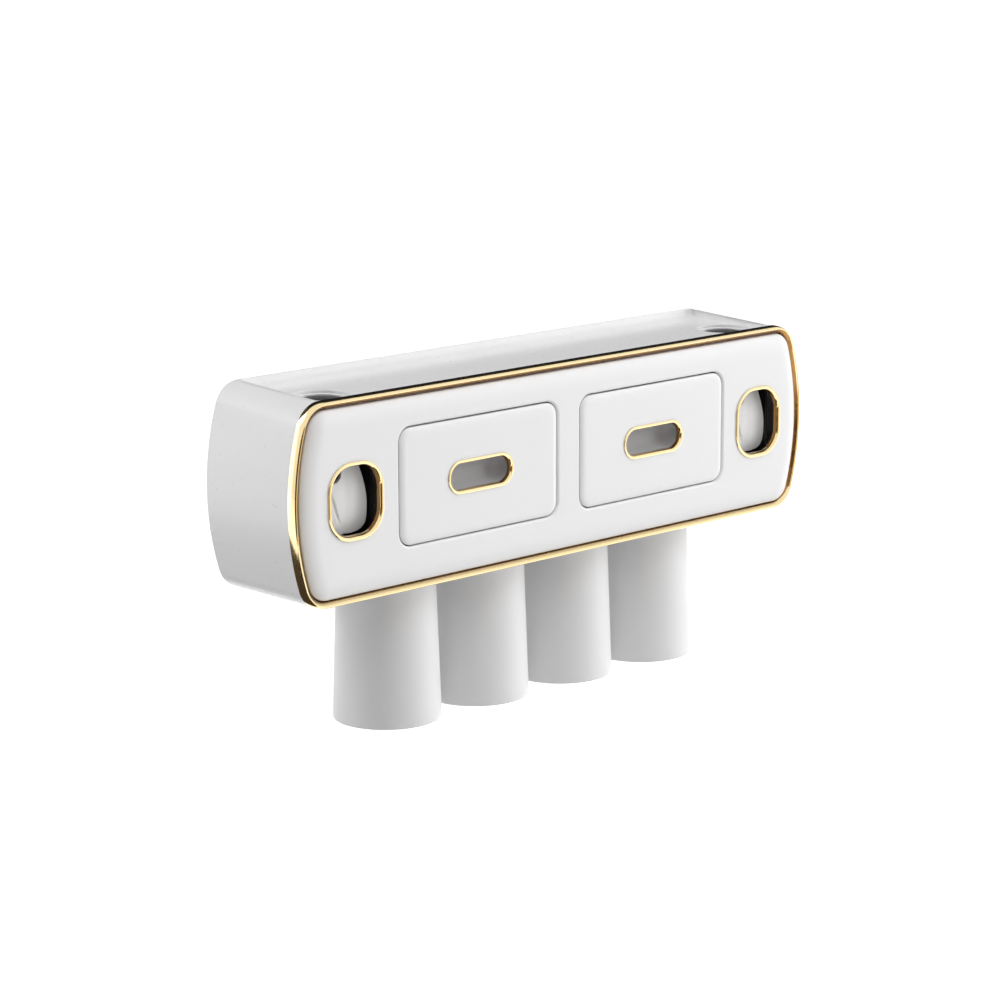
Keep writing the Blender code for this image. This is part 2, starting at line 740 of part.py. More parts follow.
def build_wall_fixing():
    """The plate on the wall with its two upturned hooks, and the adhesive pad behind it."""
    bm = bmesh.new()
    side = PLATE_WIDTH / 2
    high = PLATE_HEIGHT / 2
    outline = rounded_rectangle(-side, side, -high, high, WALL_PLATE_CORNER)
    skin(bm, [at_y(outline, WALL_PLATE_BACK_Y), at_y(outline, WALL_PLATE_FRONT_Y)])
    plate = finish("wall_plate", bm, make_material("wall_plate", (0.80, 0.80, 0.80), 0.35))
    hooks = bmesh.new()
    root_y = WALL_PLATE_FRONT_Y + WALL_PLATE_THICKNESS / 2
    lip_back_y = POCKET_FRONT_Y - RUN
    lip_front_y = lip_back_y - HOOK_LIP_THICKNESS
    half = HOOK_NECK_HEIGHT / 2
    profile = [
        (root_y, -half),
        (lip_front_y, -half),
        (lip_front_y, half + HOOK_LIP_RISE),
        (lip_back_y, half + HOOK_LIP_RISE),
        (lip_back_y, half),
        (root_y, half),
    ]
    for direction, _ in SIDES:
        x = direction * HOOK_X
        skin(hooks, [at_x(profile, x - HOOK_WIDTH / 2), at_x(profile, x + HOOK_WIDTH / 2)])
    combine(plate, cutter("hook_tool", hooks), "UNION")
    pad = bmesh.new()
    side = PAD_WIDTH / 2
    high = PAD_HEIGHT / 2
    outline = rounded_rectangle(-side, side, -high, high, PAD_CORNER)
    skin(pad, [at_y(outline, 0.0), at_y(outline, -PAD_THICKNESS)])
    finish("adhesive_pad", pad, make_material("adhesive_pad", (0.75, 0.75, 0.72), 0.6))


def build_trim_ring(carrier):
    """The gold ring round the front: flat outer band, rounded bead, sloping inner side."""
    bm = bmesh.new()
    section = [(0.0, RING_BACK_Y)]
    section += [(RING_BEAD * along, RING_FRONT_Y + RING_BEAD * sink) for along, sink in RING_BEAD_SHARES]
    section += [(RING_WIDTH, RING_FRONT_Y + RING_BEAD * RING_SLOPE_SHARE), (RING_WIDTH, RING_BACK_Y)]
    rings = [at_y(front_outline(inset - RING_PROUD), y) for inset, y in section]
    skin(bm, rings, closed=True)
    finish("trim_ring", bm, gold_plating("trim_ring"), carrier)


def window_outline(side, grow):
    """The outline of a squeezer window, grown by a margin."""
    return rounded_rectangle(
        side * WINDOW_X - WINDOW_WIDTH / 2 - grow,
        side * WINDOW_X + WINDOW_WIDTH / 2 + grow,
        WINDOW_Z - WINDOW_HEIGHT / 2 - grow,
        WINDOW_Z + WINDOW_HEIGHT / 2 + grow,
        WINDOW_CORNER + grow,
    )


def drawer_outline(side, grow):
    """The outline of a drawer's opening, grown by a margin."""
    x = side * DRAWER_X
    return rounded_rectangle(
        x - DRAWER_WIDTH / 2 - grow,
        x + DRAWER_WIDTH / 2 + grow,
        -DRAWER_HEIGHT / 2 - grow,
        DRAWER_HEIGHT / 2 + grow,
        DRAWER_CORNER + grow,
    )


def slot_outline(side, grow):
    """The outline of a finger slot, grown by a margin."""
    return stadium(side * DRAWER_X, 0.0, SLOT_WIDTH + 2 * grow, SLOT_HEIGHT + 2 * grow)


def build_front_plate(carrier):
    """The front panel: flat middle with four openings, rolled back towards its border."""
    bm = bmesh.new()
    border = RING_WIDTH - RING_PROUD + SEAT
    front = []
    back = []
    for step in range(PLATE_ROLL_STEPS + 1):
        turn = math.pi / 2 * step / PLATE_ROLL_STEPS
        outline = front_outline(border + PLATE_ROLL * (1.0 - math.cos(turn)))
        sink = (PLATE_BORDER_Y - PLATE_FRONT_Y) * (1.0 - math.sin(turn))
        front.append(add_ring(bm, at_y(outline, PLATE_FRONT_Y + sink)))
        back.append(add_ring(bm, at_y(outline, PLATE_BACK_Y + sink)))
    bridge_row(bm, front)
    bridge_row(bm, back)
    bridge(bm, front[0], back[0])
    front_holes = []
    back_holes = []
    for side, _ in SIDES:
        for outline in (window_outline(side, SEAT - WINDOW_RIM / 2), drawer_outline(side, DRAWER_GAP / 2)):
            front_holes.append(add_ring(bm, at_y(outline, PLATE_FRONT_Y)))
            back_holes.append(add_ring(bm, at_y(outline, PLATE_BACK_Y)))
            bridge(bm, front_holes[-1], back_holes[-1])
    cap(bm, front[-1], front_holes)
    cap(bm, back[-1], back_holes)
    finish("front_plate", bm, white_plastic("front_plate"), carrier)


def rim_section(width, proud, depth, face_y):
    """The section of a rim: a rounded flange on the face at face_y and a tube half as wide behind it."""
    flange_y = face_y - SEAT
    crown = [(width * along, flange_y - proud * rise) for along, rise in RIM_ROUND_SHARES]
    tube = [(width, face_y + depth), (width / 2, face_y + depth), (width / 2, flange_y)]
    return [(0.0, flange_y)] + crown + [(width, flange_y)] + tube


def build_window_rims(carrier):
    """Gold rims that line the windows."""
    for side, word in SIDES:
        bm = bmesh.new()
        section = rim_section(WINDOW_RIM, WINDOW_RIM_PROUD, WINDOW_RIM_DEPTH, PLATE_FRONT_Y)
        skin(bm, [at_y(window_outline(side, -inset), y) for inset, y in section], closed=True)
        name = "window_rim_" + word
        finish(name, bm, gold_plating(name), carrier)


def build_finger_rim(side, word, carrier):
    """A gold rim round the finger slot."""
    bm = bmesh.new()
    section = rim_section(SLOT_RIM, SLOT_RIM_PROUD, SLOT_RIM_DEPTH, DRAWER_FACE_Y)
    skin(bm, [at_y(slot_outline(side, -inset), y) for inset, y in section], closed=True)
    name = "finger_rim_" + word
    finish(name, bm, gold_plating(name), carrier)


def build_drawer_front(side, word, carrier):
    """A drawer panel with softly rolled edges and a closed scoop behind the finger slot."""
    bm = bmesh.new()
    back_y = DRAWER_FACE_Y + DRAWER_FRONT_THICKNESS
    edge = -DRAWER_GAP / 2
    rows = []
    for share, sink in DRAWER_ROLL_SHARES:
        outline = drawer_outline(side, edge - DRAWER_ROLL * share)
        rows.append(add_ring(bm, at_y(outline, DRAWER_FACE_Y + DRAWER_ROLL_DEPTH * sink)))
    bridge_row(bm, rows)
    back = add_ring(bm, at_y(drawer_outline(side, edge), back_y))
    bridge(bm, rows[0], back)
    neck = SEAT - SLOT_RIM / 2
    ledge_y = DRAWER_FACE_Y + SLOT_RIM_DEPTH + SEAT
    scoop = [(-SLOT_RIM * inward, DRAWER_FACE_Y + SCOOP_DEPTH * deep) for inward, deep in SCOOP_SHARES]
    inside = [(neck, DRAWER_FACE_Y), (neck, ledge_y), (-SLOT_RIM, ledge_y)] + scoop
    outside = [
        (neck + SCOOP_WALL, back_y),
        (neck + SCOOP_WALL, scoop[0][1]),
        (-SLOT_RIM, scoop[-1][1] + SCOOP_WALL),
    ]
    inner = [add_ring(bm, at_y(slot_outline(side, grow), y)) for grow, y in inside]
    outer = [add_ring(bm, at_y(slot_outline(side, grow), y)) for grow, y in outside]
    bridge_row(bm, inner)
    bridge_row(bm, outer)
    cap(bm, inner[-1])
    cap(bm, outer[-1])
    cap(bm, rows[-1], [inner[0]])
    cap(bm, back, [outer[0]])
    name = "drawer_front_" + word
    finish(name, bm, white_plastic(name), carrier)


def build_drawer_box(side, word, carrier):
    """An open-topped tray behind the drawer front, with a hole for the finger scoop."""
    bm = bmesh.new()
    x = side * DRAWER_X
    half = DRAWER_BOX_WIDTH / 2
    wall = DRAWER_BOX_WALL
    front_y = DRAWER_FACE_Y + DRAWER_FRONT_THICKNESS + SEAT
    back_y = POCKET_FRONT_Y - DRAWER_BACK_SPACE
    outer = rounded_rectangle(x - half, x + half, front_y, back_y, DRAWER_BOX_CORNER)
    inner = rounded_rectangle(
        x - half + wall, x + half - wall, front_y + wall, back_y - wall, DRAWER_BOX_CORNER - wall
    )
    rings = [
        at_z(outer, -DRAWER_BOX_BOTTOM),
        at_z(outer, DRAWER_BOX_TOP),
        at_z(inner, DRAWER_BOX_TOP),
        at_z(inner, wall - DRAWER_BOX_BOTTOM),
    ]
    skin(bm, rings)
    name = "drawer_box_" + word
    box = finish(name, bm, white_plastic(name), carrier)
    hole = bmesh.new()
    outline = slot_outline(side, SCOOP_WALL + 2 * SEAT - SLOT_RIM / 2)
    skin(hole, [at_y(outline, front_y - OVERRUN), at_y(outline, front_y + wall + OVERRUN)])
    combine(box, cutter("scoop_tool_" + word, hole), "DIFFERENCE")


def build_drawer_bay(side, word, carrier):
    """A channel that carries the drawer: a floor and two side walls, from front plate to back cover."""
    bm = bmesh.new()
    x = side * DRAWER_X
    half = DRAWER_BOX_WIDTH / 2 + SEAT
    outer = half + BAY_WALL
    floor = -DRAWER_BOX_BOTTOM - SEAT
    high = floor + BAY_WALL_HEIGHT
    profile = [
        (x - outer, floor - BAY_FLOOR),
        (x + outer, floor - BAY_FLOOR),
        (x + outer, high),
        (x + half, high),
        (x + half, floor),
        (x - half, floor),
        (x - half, high),
        (x - outer, high),
    ]
    skin(bm, [at_y(profile, PLATE_BACK_Y + SEAT), at_y(profile, POCKET_FRONT_Y - SEAT)])
    name = "drawer_bay_" + word
    finish(name, bm, white_plastic(name), carrier)


def build_drawers(holder):
    """Both drawers with their bays, on slides that run out of the front."""
    for side, word in SIDES:
        build_drawer_bay(side, word, holder)
        place = Vector((side * DRAWER_X, DRAWER_FACE_Y, 0.0))
        slide = joint_axis("drawer_slide_" + word, place, holder)
        build_drawer_box(side, word, slide)
        build_drawer_front(side, word, slide)
        build_finger_rim(side, word, slide)


def build_squeezer_body(side, word, carrier):
    """The squeezer's frame: open to the window, with a bored block on top and holes for the hinge pin."""
    bm = bmesh.new()
    x = side * WINDOW_X
    half = SQUEEZER_WIDTH / 2
    wall = SQUEEZER_WALL
    front_y = SQUEEZER_FRONT_Y
    outline = rounded_rectangle(x - half, x + half, front_y, SQUEEZER_BACK_Y, SQUEEZER_CORNER, 2)
    skin(bm, [at_z(outline, SQUEEZER_BOTTOM_Z), at_z(outline, SQUEEZER_TOP_Z)])
    name = "squeezer_body_" + word
    body = finish(name, bm, black_plastic(name), carrier)
    cavity = bmesh.new()
    back_y = PORT_Y + BULB_RADIUS + SEAT
    outline = rectangle(x - half + wall, x + half - wall, front_y - OVERRUN, back_y)
    skin(cavity, [at_z(outline, SQUEEZER_BOTTOM_Z + wall), at_z(outline, ROOF_Z)])
    combine(body, cutter("cavity_tool_" + word, cavity), "DIFFERENCE")
    bore = bmesh.new()
    ledge = SQUEEZER_TOP_Z - COLLAR_NECK_LENGTH - SEAT
    profile = [
        (SLEEVE_RADIUS + SEAT, ROOF_Z - OVERRUN),
        (SLEEVE_RADIUS + SEAT, ledge),
        (COLLAR_NECK_RADIUS + SEAT, ledge),
        (COLLAR_NECK_RADIUS + SEAT, SQUEEZER_TOP_Z + OVERRUN),
    ]
    skin(bore, turned(profile, x, PORT_Y, PORT_STEPS))
    combine(body, cutter("port_tool_" + word, bore), "DIFFERENCE")
    holes = bmesh.new()
    rod_on_hinge(holes, x - half - OVERRUN, x + half + OVERRUN, PIN_RADIUS + PIN_CLEARANCE)
    combine(body, cutter("pin_tool_" + word, holes), "DIFFERENCE")


def build_port_collar(side, word, carrier):
    """The pale ring in the tray's port, whose neck sits in the squeezer's bore."""
    bm = bmesh.new()
    flange = CEILING_Z
    neck = SQUEEZER_TOP_Z - COLLAR_NECK_LENGTH
    bore = SLEEVE_RADIUS + SEAT
    profile = [
        (bore, COLLAR_TOP_Z),
        (COLLAR_RADIUS, COLLAR_TOP_Z),
        (COLLAR_RADIUS, flange),
        (COLLAR_NECK_RADIUS, flange),
        (COLLAR_NECK_RADIUS, neck),
        (bore, neck),
    ]
    skin(bm, turned(profile, side * WINDOW_X, PORT_Y, PORT_STEPS), closed=True)
    name = "port_collar_" + word
    finish(name, bm, white_plastic(name), carrier)


def build_tube_sleeve(side, word, carrier):
    """The soft funnel in the port that grips the toothpaste tube's neck."""
    bm = bmesh.new()
    top = COLLAR_TOP_Z - SLEEVE_SINK
    low = ROOF_Z
    shoulder = low + SLEEVE_SHOULDER
    bore = SLEEVE_RADIUS - SLEEVE_WALL
    profile = [
        (SLEEVE_RADIUS, top),
        (SLEEVE_RADIUS, shoulder),
        (SLEEVE_SPOUT, low),
        (SLEEVE_THROAT, low),
        (SLEEVE_THROAT, low + SLEEVE_WALL),
        (bore, shoulder + SLEEVE_WALL),
        (bore, top),
    ]
    skin(bm, turned(profile, side * WINDOW_X, PORT_Y, PORT_STEPS), closed=True)
    name = "tube_sleeve_" + word
    finish(name, bm, dark_silicone(name), carrier)


def build_pump_bulb(side, word, carrier):
    """The soft bulb under the sleeve, with a nozzle that looks forwards through the pusher's notch."""
    bm = bmesh.new()
    x = side * WINDOW_X
    wall = BULB_WALL
    top = ROOF_Z - SEAT
    neck_z = top - BULB_NECK
    shoulder_z = neck_z - BULB_SHOULDER
    waist_z = shoulder_z - BULB_LENGTH
    tip_z = waist_z - BULB_TIP
    profile = [
        (SLEEVE_THROAT, top),
        (SLEEVE_SPOUT, top),
        (SLEEVE_SPOUT, neck_z),
        (BULB_RADIUS, shoulder_z),
        (BULB_RADIUS, waist_z),
        (BULB_RADIUS / 2, tip_z),
    ]
    hollow = [
        (BULB_RADIUS / 2 - wall / 2, tip_z + wall),
        (BULB_RADIUS - wall, waist_z),
        (BULB_RADIUS - wall, shoulder_z),
        (SLEEVE_THROAT, neck_z),
    ]
    rings = turned(profile, x, PORT_Y, HOLE_STEPS) + turned(hollow, x, PORT_Y, HOLE_STEPS)
    loops = [add_ring(bm, ring) for ring in rings]
    bridge_row(bm, loops[:len(profile)])
    bridge_row(bm, loops[len(profile):])
    bridge(bm, loops[-1], loops[0])
    cap(bm, loops[len(profile) - 1])
    cap(bm, loops[len(profile)])
    name = "pump_bulb_" + word
    bulb = finish(name, bm, dark_silicone(name), carrier)
    nozzle = bmesh.new()
    bore = bmesh.new()
    nozzle_x = x - NOZZLE_SIDE
    tip_y = PLATE_FRONT_Y + NOZZLE_BEHIND_FRONT
    root_y = PORT_Y - math.sqrt((BULB_RADIUS - wall) ** 2 - (NOZZLE_SIDE - NOZZLE_RADIUS) ** 2)
    rod_along_y(nozzle, nozzle_x, NOZZLE_Z, NOZZLE_RADIUS, tip_y, root_y)
    rod_along_y(bore, nozzle_x, NOZZLE_Z, NOZZLE_BORE, tip_y - OVERRUN, root_y + OVERRUN)
    combine(bulb, cutter("nozzle_tool_" + word, nozzle), "UNION")
    combine(bulb, cutter("nozzle_bore_tool_" + word, bore), "DIFFERENCE")


def pad_half_width(share):
    """Half the pusher's width from its top (0) to its bottom (1): a neck that swells, then rounds off."""
    swell = math.sin(math.pi / 2 * min(share / PAD_WAIST_SHARE, 1.0))
    fall = max(share - PAD_WAIST_SHARE, 0.0) / (1.0 - PAD_WAIST_SHARE)
    round_off = (1.0 - fall ** 3) ** (1 / 3)
    return PAD_HALF_WIDTH * (PAD_NECK_SHARE + (1.0 - PAD_NECK_SHARE) * swell) * round_off


def build_pusher(side, word, carrier):
    """The curved lever in the window: a crowned pad, notched for the nozzle, that hangs from the pin."""
    bm = bmesh.new()
    x = side * WINDOW_X
    rings = []
    for row in range(PAD_ROWS + 1):
        share = PAD_TIP_SHARE * row / PAD_ROWS
        z = PAD_TOP_Z - PAD_LENGTH * share
        half = pad_half_width(share)
        middle_y = PAD_Y + PAD_LEAN * (1.0 - 2.0 * share) ** 2
        front = []
        for column in range(PAD_COLUMNS + 1):
            u = 2.0 * column / PAD_COLUMNS - 1.0
            front.append(Vector((x + half * u, middle_y + PAD_CROWN * u * u * half / PAD_HALF_WIDTH, z)))
        back = [point + Vector((0.0, PAD_SHELL, 0.0)) for point in reversed(front)]
        rings.append(front + back)
    skin(bm, rings)
    name = "pusher_" + word
    pusher = finish(name, bm, white_plastic(name), carrier)
    notch = bmesh.new()
    notch_x = x - NOZZLE_SIDE
    outline = arc(notch_x, NOZZLE_Z, NOTCH_RADIUS, 180.0, 360.0, NOTCH_STEPS)
    outline += [(notch_x + NOTCH_RADIUS, HINGE_Z), (notch_x - NOTCH_RADIUS, HINGE_Z)]
    skin(notch, [at_y(outline, PLATE_FRONT_Y), at_y(outline, HINGE_Y + BARREL_RADIUS)])
    combine(pusher, cutter("notch_tool_" + word, notch), "DIFFERENCE")
    arm = bmesh.new()
    arm_left = x + ARM_SIDE - ARM_WIDTH / 2
    arm_right = arm_left + ARM_WIDTH
    shell_y = PAD_Y + PAD_LEAN + PAD_SHELL
    profile = [
        (PAD_Y + PAD_LEAN + PAD_SHELL / 2, PAD_TOP_Z - ARM_LENGTH),
        (shell_y + PAD_CROWN, PAD_TOP_Z - ARM_LENGTH),
        (HINGE_Y + BARREL_RADIUS * ARM_ROOT_SHARE, HINGE_Z),
        (HINGE_Y - BARREL_RADIUS * ARM_ROOT_SHARE, HINGE_Z),
    ]
    skin(arm, [at_x(profile, arm_left), at_x(profile, arm_right)])
    combine(pusher, cutter("arm_tool_" + word, arm), "UNION")
    hub = bmesh.new()
    rod_on_hinge(hub, arm_left, arm_right, BARREL_RADIUS)
    combine(pusher, cutter("hub_tool_" + word, hub), "UNION")
    presser = bmesh.new()
    half = PRESSER_WIDTH / 2
    outline = rectangle(x - half, x + half, PAD_Y + PAD_SHELL / 2, PORT_Y - BULB_RADIUS - SEAT)
    high = PRESSER_Z + PRESSER_HEIGHT / 2
    skin(presser, [at_z(outline, high - PRESSER_HEIGHT), at_z(outline, high)])
    combine(pusher, cutter("presser_tool_" + word, presser), "UNION")
    bore = bmesh.new()
    rod_on_hinge(bore, arm_left - OVERRUN, arm_right + OVERRUN, PIN_RADIUS + PIN_CLEARANCE)
    combine(pusher, cutter("hub_bore_tool_" + word, bore), "DIFFERENCE")


def build_hinge_pin(side, word, carrier):
    """The steel pin through the squeezer's side walls and the pusher's hub."""
    bm = bmesh.new()
    x = side * WINDOW_X
    half = SQUEEZER_WIDTH / 2 - SEAT
    rod_on_hinge(bm, x - half, x + half, PIN_RADIUS)
    name = "hinge_pin_" + word
    finish(name, bm, steel(name), carrier)


def tube_rings(path, radius, steps, across):
    """Loops square to a path, each turned so that its first point lies towards across."""
    rings = []
    for index, point in enumerate(path):
        before = path[max(index - 1, 0)]
        after = path[min(index + 1, len(path) - 1)]
        along = (after - before).normalized()
        side = (across - along * across.dot(along)).normalized()
        up = along.cross(side)
        turns = [2 * math.pi * k / steps for k in range(steps)]
        rings.append([point + (side * math.cos(t) + up * math.sin(t)) * radius for t in turns])
    return rings


def build_return_spring(side, word, carrier):
    """A wound spring on the pin, beside the pusher's hub, whose tail stands up to the frame's roof."""
    bm = bmesh.new()
    start_x = side * WINDOW_X + ARM_SIDE + ARM_WIDTH / 2 + SPRING_WIRE + SEAT
    path = []
    for k in range(SPRING_TURNS * SPRING_STEPS + 1):
        turn = 2 * math.pi * k / SPRING_STEPS
        x = start_x + SPRING_PITCH * k / SPRING_STEPS
        y = HINGE_Y + SPRING_RADIUS * math.cos(turn)
        path.append(Vector((x, y, HINGE_Z + SPRING_RADIUS * math.sin(turn))))
    tail = HINGE_DROP - SEAT
    end = path[-1]
    path += [end + Vector((0.0, 0.0, tail * share)) for share in SPRING_TAIL_SHARES]
    skin(bm, tube_rings(path, SPRING_WIRE, WIRE_STEPS, Vector((1.0, 0.0, 0.0))))
    name = "return_spring_" + word
    finish(name, bm, steel(name), carrier)


def build_squeezers(holder):
    """Both toothpaste squeezers, each with a pusher on its own hinge."""
    for side, word in SIDES:
        build_squeezer_body(side, word, holder)
        build_port_collar(side, word, holder)
        build_tube_sleeve(side, word, holder)
        build_pump_bulb(side, word, holder)
        build_hinge_pin(side, word, holder)
        build_return_spring(side, word, holder)
        place = Vector((side * WINDOW_X, HINGE_Y, HINGE_Z))
        hinge = joint_axis("pusher_hinge_" + word, place, holder)
        build_pusher(side, word, hinge)


def build_cups(holder):
    """Four tapered cups, mouth down, each with a steel disc let into the end that faces the magnet."""
    pocket_z = CUP_TOP_Z - DISC_THICKNESS - SEAT
    inside_z = pocket_z - CUP_FLOOR
    taper = (CUP_MOUTH_RADIUS - CUP_TOP_RADIUS) / (CUP_TOP_Z - CUP_MOUTH_Z)
    inside_top = CUP_TOP_RADIUS - CUP_WALL + taper * (CUP_TOP_Z - inside_z)
    lip = CUP_WALL * CUP_LIP_SHARE
    profile = [
        (DISC_RADIUS + SEAT, pocket_z),
        (DISC_RADIUS + SEAT, CUP_TOP_Z),
        (CUP_TOP_RADIUS - CUP_EDGE, CUP_TOP_Z),
        (CUP_TOP_RADIUS + taper * CUP_EDGE, CUP_TOP_Z - CUP_EDGE),
        (CUP_MOUTH_RADIUS, CUP_MOUTH_Z + lip),
        (CUP_MOUTH_RADIUS - lip, CUP_MOUTH_Z),
        (CUP_MOUTH_RADIUS - CUP_WALL, CUP_MOUTH_Z + lip),
        (inside_top, inside_z - CUP_EDGE),
        (inside_top - CUP_EDGE, inside_z),
    ]
    disc_profile = [(DISC_RADIUS, pocket_z + SEAT), (DISC_RADIUS, pocket_z + SEAT + DISC_THICKNESS)]
    for number, x in enumerate(cup_places(), start=1):
        pull = joint_axis("cup_pull_%d" % number, Vector((x, CUP_Y, CUP_TOP_Z)), holder)
        bm = bmesh.new()
        skin(bm, turned(profile, x, CUP_Y, CUP_STEPS))
        name = "cup_%d" % number
        finish(name, bm, make_material(name, (0.84, 0.84, 0.85), 0.35), pull)
        disc = bmesh.new()
        skin(disc, turned(disc_profile, x, CUP_Y, HOLE_STEPS))
        name = "cup_disc_%d" % number
        finish(name, disc, steel(name), pull)


def build_holder():
    """The whole wall toothbrush holder."""
    clear_scene()
    build_wall_fixing()
    holder = joint_axis("lift_off_wall", Vector())
    build_back_cover(holder)
    build_cover_screws(holder)
    build_housing(holder)
    build_base_plate(holder)
    build_magnets(holder)
    build_trim_ring(holder)
    build_front_plate(holder)
    build_window_rims(holder)
    build_drawers(holder)
    build_squeezers(holder)
    build_cups(holder)


build_holder()
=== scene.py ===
import math

import bmesh
import bpy
import numpy as np
from mathutils import Matrix, Vector
from mathutils.geometry import tessellate_polygon


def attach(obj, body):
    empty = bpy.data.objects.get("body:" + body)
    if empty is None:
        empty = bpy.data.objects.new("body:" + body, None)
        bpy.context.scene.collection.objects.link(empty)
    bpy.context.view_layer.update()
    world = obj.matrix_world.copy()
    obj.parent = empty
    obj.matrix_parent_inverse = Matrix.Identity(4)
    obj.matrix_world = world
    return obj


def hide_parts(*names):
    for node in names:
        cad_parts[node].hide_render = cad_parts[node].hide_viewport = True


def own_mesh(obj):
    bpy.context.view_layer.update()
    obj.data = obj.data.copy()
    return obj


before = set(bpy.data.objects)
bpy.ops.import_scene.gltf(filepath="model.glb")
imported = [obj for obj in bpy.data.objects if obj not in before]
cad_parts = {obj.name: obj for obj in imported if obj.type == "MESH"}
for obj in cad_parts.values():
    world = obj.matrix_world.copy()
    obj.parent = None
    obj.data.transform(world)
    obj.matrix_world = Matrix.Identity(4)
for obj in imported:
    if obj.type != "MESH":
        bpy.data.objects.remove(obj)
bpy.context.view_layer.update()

sides = ((-1, "left"), (1, "right"))
print("frame loaded")


# Outlines are arrays of points, one row per point.

# An arc: centre plus radius times (cosine, sine) of evenly spaced angles, both ends kept.
def arcLoop(cx, cv, radius, start, end, steps):
    turn = np.radians(np.linspace(start, end, steps + 1))
    return np.stack([cx + radius * np.cos(turn), cv + radius * np.sin(turn)], 1)


# A circle: the arc from 0 to 360 degrees without its last point.
def circleLoop(cx, cv, radius, steps):
    return arcLoop(cx, cv, radius, 0.0, 360.0, steps)[:-1]


# A rectangle with quarter-circle corners, run round from the right end of its top.
def roundedBox(left, right, low, high, radius, steps):
    return np.concatenate([
        arcLoop(right - radius, high - radius, radius, 0.0, 90.0, steps),
        arcLoop(left + radius, high - radius, radius, 90.0, 180.0, steps),
        arcLoop(left + radius, low + radius, radius, 180.0, 270.0, steps),
        arcLoop(right - radius, low + radius, radius, 270.0, 360.0, steps),
    ])


# A slot: two half circles whose centres lie apart by width less height.
def slotLoop(cx, cv, width, height, steps):
    radius = height / 2
    reach = width / 2 - radius
    right = arcLoop(cx + reach, cv, radius, -90.0, 90.0, steps)
    return np.concatenate([right, arcLoop(cx - reach, cv, radius, 90.0, 270.0, steps)])


bodyShape = {
    "halfWidth": 0.1845,
    "topFront": 0.0490,
    "topBack": 0.0522,
    "bottom": -0.0535,
    "sideRadius": 0.1360,  # of the bowed sides
    "cornerRadius": 0.0150,
    "leastCorner": 0.0003,
    "frontY": -0.0643,
    "backY": -0.0010,
    "wall": 0.0024,
    "innerCorner": 0.0100,
    "ceiling": 0.0447,
    "floor": -0.0511,
    "cornerSteps": 14,
    "sideSteps": 24,
}


# The body's outline: straight top and bottom joined by a bowed side of sideRadius with round corners,
# all drawn in by inset; the corner arc ends where it touches the bow.
def barrelLoop(inset, top, bottom, corner):
    s = bodyShape
    corner = max(corner, s["leastCorner"])
    side = s["sideRadius"] - inset
    centre = s["halfWidth"] - inset - side
    middle = (top + bottom) / 2
    rise = top - corner - middle
    cornerX = centre + math.sqrt((side - corner) ** 2 - rise ** 2)
    tilt = math.degrees(math.atan2(rise, cornerX - centre))
    right = np.concatenate([
        arcLoop(cornerX, top - corner, corner, 90.0, tilt, s["cornerSteps"]),
        arcLoop(centre, middle, side, tilt, -tilt, s["sideSteps"])[1:-1],
        arcLoop(cornerX, bottom + corner, corner, -tilt, -90.0, s["cornerSteps"]),
    ])
    return np.concatenate([right, right[::-1] * (-1.0, 1.0)])


# The front outline of the body, drawn in by inset.
def frontLoop(inset):
    s = bodyShape
    return barrelLoop(inset, s["topFront"] - inset, s["bottom"] + inset, s["cornerRadius"] - inset)


# Flat outlines set in space: the two columns fill the two free axes, the third is one number.
def alongX(loop, x):
    return np.column_stack([np.full(len(loop), x), loop[:, 0], loop[:, 1]])


def alongY(loop, y):
    return np.column_stack([loop[:, 0], np.full(len(loop), y), loop[:, 1]])


def alongZ(loop, z):
    return np.column_stack([loop[:, 0], loop[:, 1], np.full(len(loop), z)])


# Surfaces are parts of one piece, gathered as (points, faces).

# A grid of rings, each joined to the next by quads; edges listed in skip are left open.
def addRings(parts, rings, closeRows=False, skip=()):
    rings = np.asarray(rings)
    count, size = rings.shape[:2]
    rows = np.arange(count if closeRows else count - 1)[:, None]
    columns = np.setdiff1d(np.arange(size), skip)[None, :]
    after = (columns + 1) % size
    below = (rows + 1) % count
    quads = np.stack([rows * size + columns, rows * size + after,
                      below * size + after, below * size + columns], -1)
    parts.append((rings.reshape(-1, 3), quads.reshape(-1, 4).tolist()))


# An open sheet: a grid of points joined by quads.
def addSheet(parts, grid):
    rows, columns = grid.shape[:2]
    first = (np.arange(rows - 1)[:, None] * columns + np.arange(columns - 1)[None, :]).ravel()
    quads = np.stack([first, first + 1, first + columns + 1, first + columns], -1)
    parts.append((grid.reshape(-1, 3), quads.tolist()))


# A flat outline filled with triangles, leaving its holes open.
def addCap(parts, outline, holes=()):
    loops = [np.asarray(outline)] + [np.asarray(hole) for hole in holes]
    triangles = tessellate_polygon([[Vector(p) for p in loop.tolist()] for loop in loops])
    parts.append((np.concatenate(loops), [list(t) for t in triangles]))


# A block: rings joined, with a cap at both ends.
def addBlock(parts, rings):
    addRings(parts, rings)
    addCap(parts, rings[0])
    addCap(parts, rings[-1])


# A turned shape: for each profile point (radius, height), a circle of that radius about an upright axis.
def turnedRings(profile, cx, cy, steps):
    circle = circleLoop(0.0, 0.0, 1.0, steps)
    profile = np.asarray(profile)
    x = cx + profile[:, :1] * circle[None, :, 0]
    y = cy + profile[:, :1] * circle[None, :, 1]
    return np.stack([x, y, np.broadcast_to(profile[:, 1:], x.shape)], -1)


# A rounded edge: points of a quarter ellipse, alongSize * (1 - cos) and acrossSize * (1 - sin).
def quarter(alongSize, acrossSize, steps):
    turn = np.linspace(0.0, math.pi / 2, steps + 1)
    return np.stack([alongSize * (1.0 - np.cos(turn)), acrossSize * (1.0 - np.sin(turn))], 1)


meshCare = {"merge": 0.000002, "collapse": 0.000001, "sharpDegrees": 34.0, "evenWeight": 100}


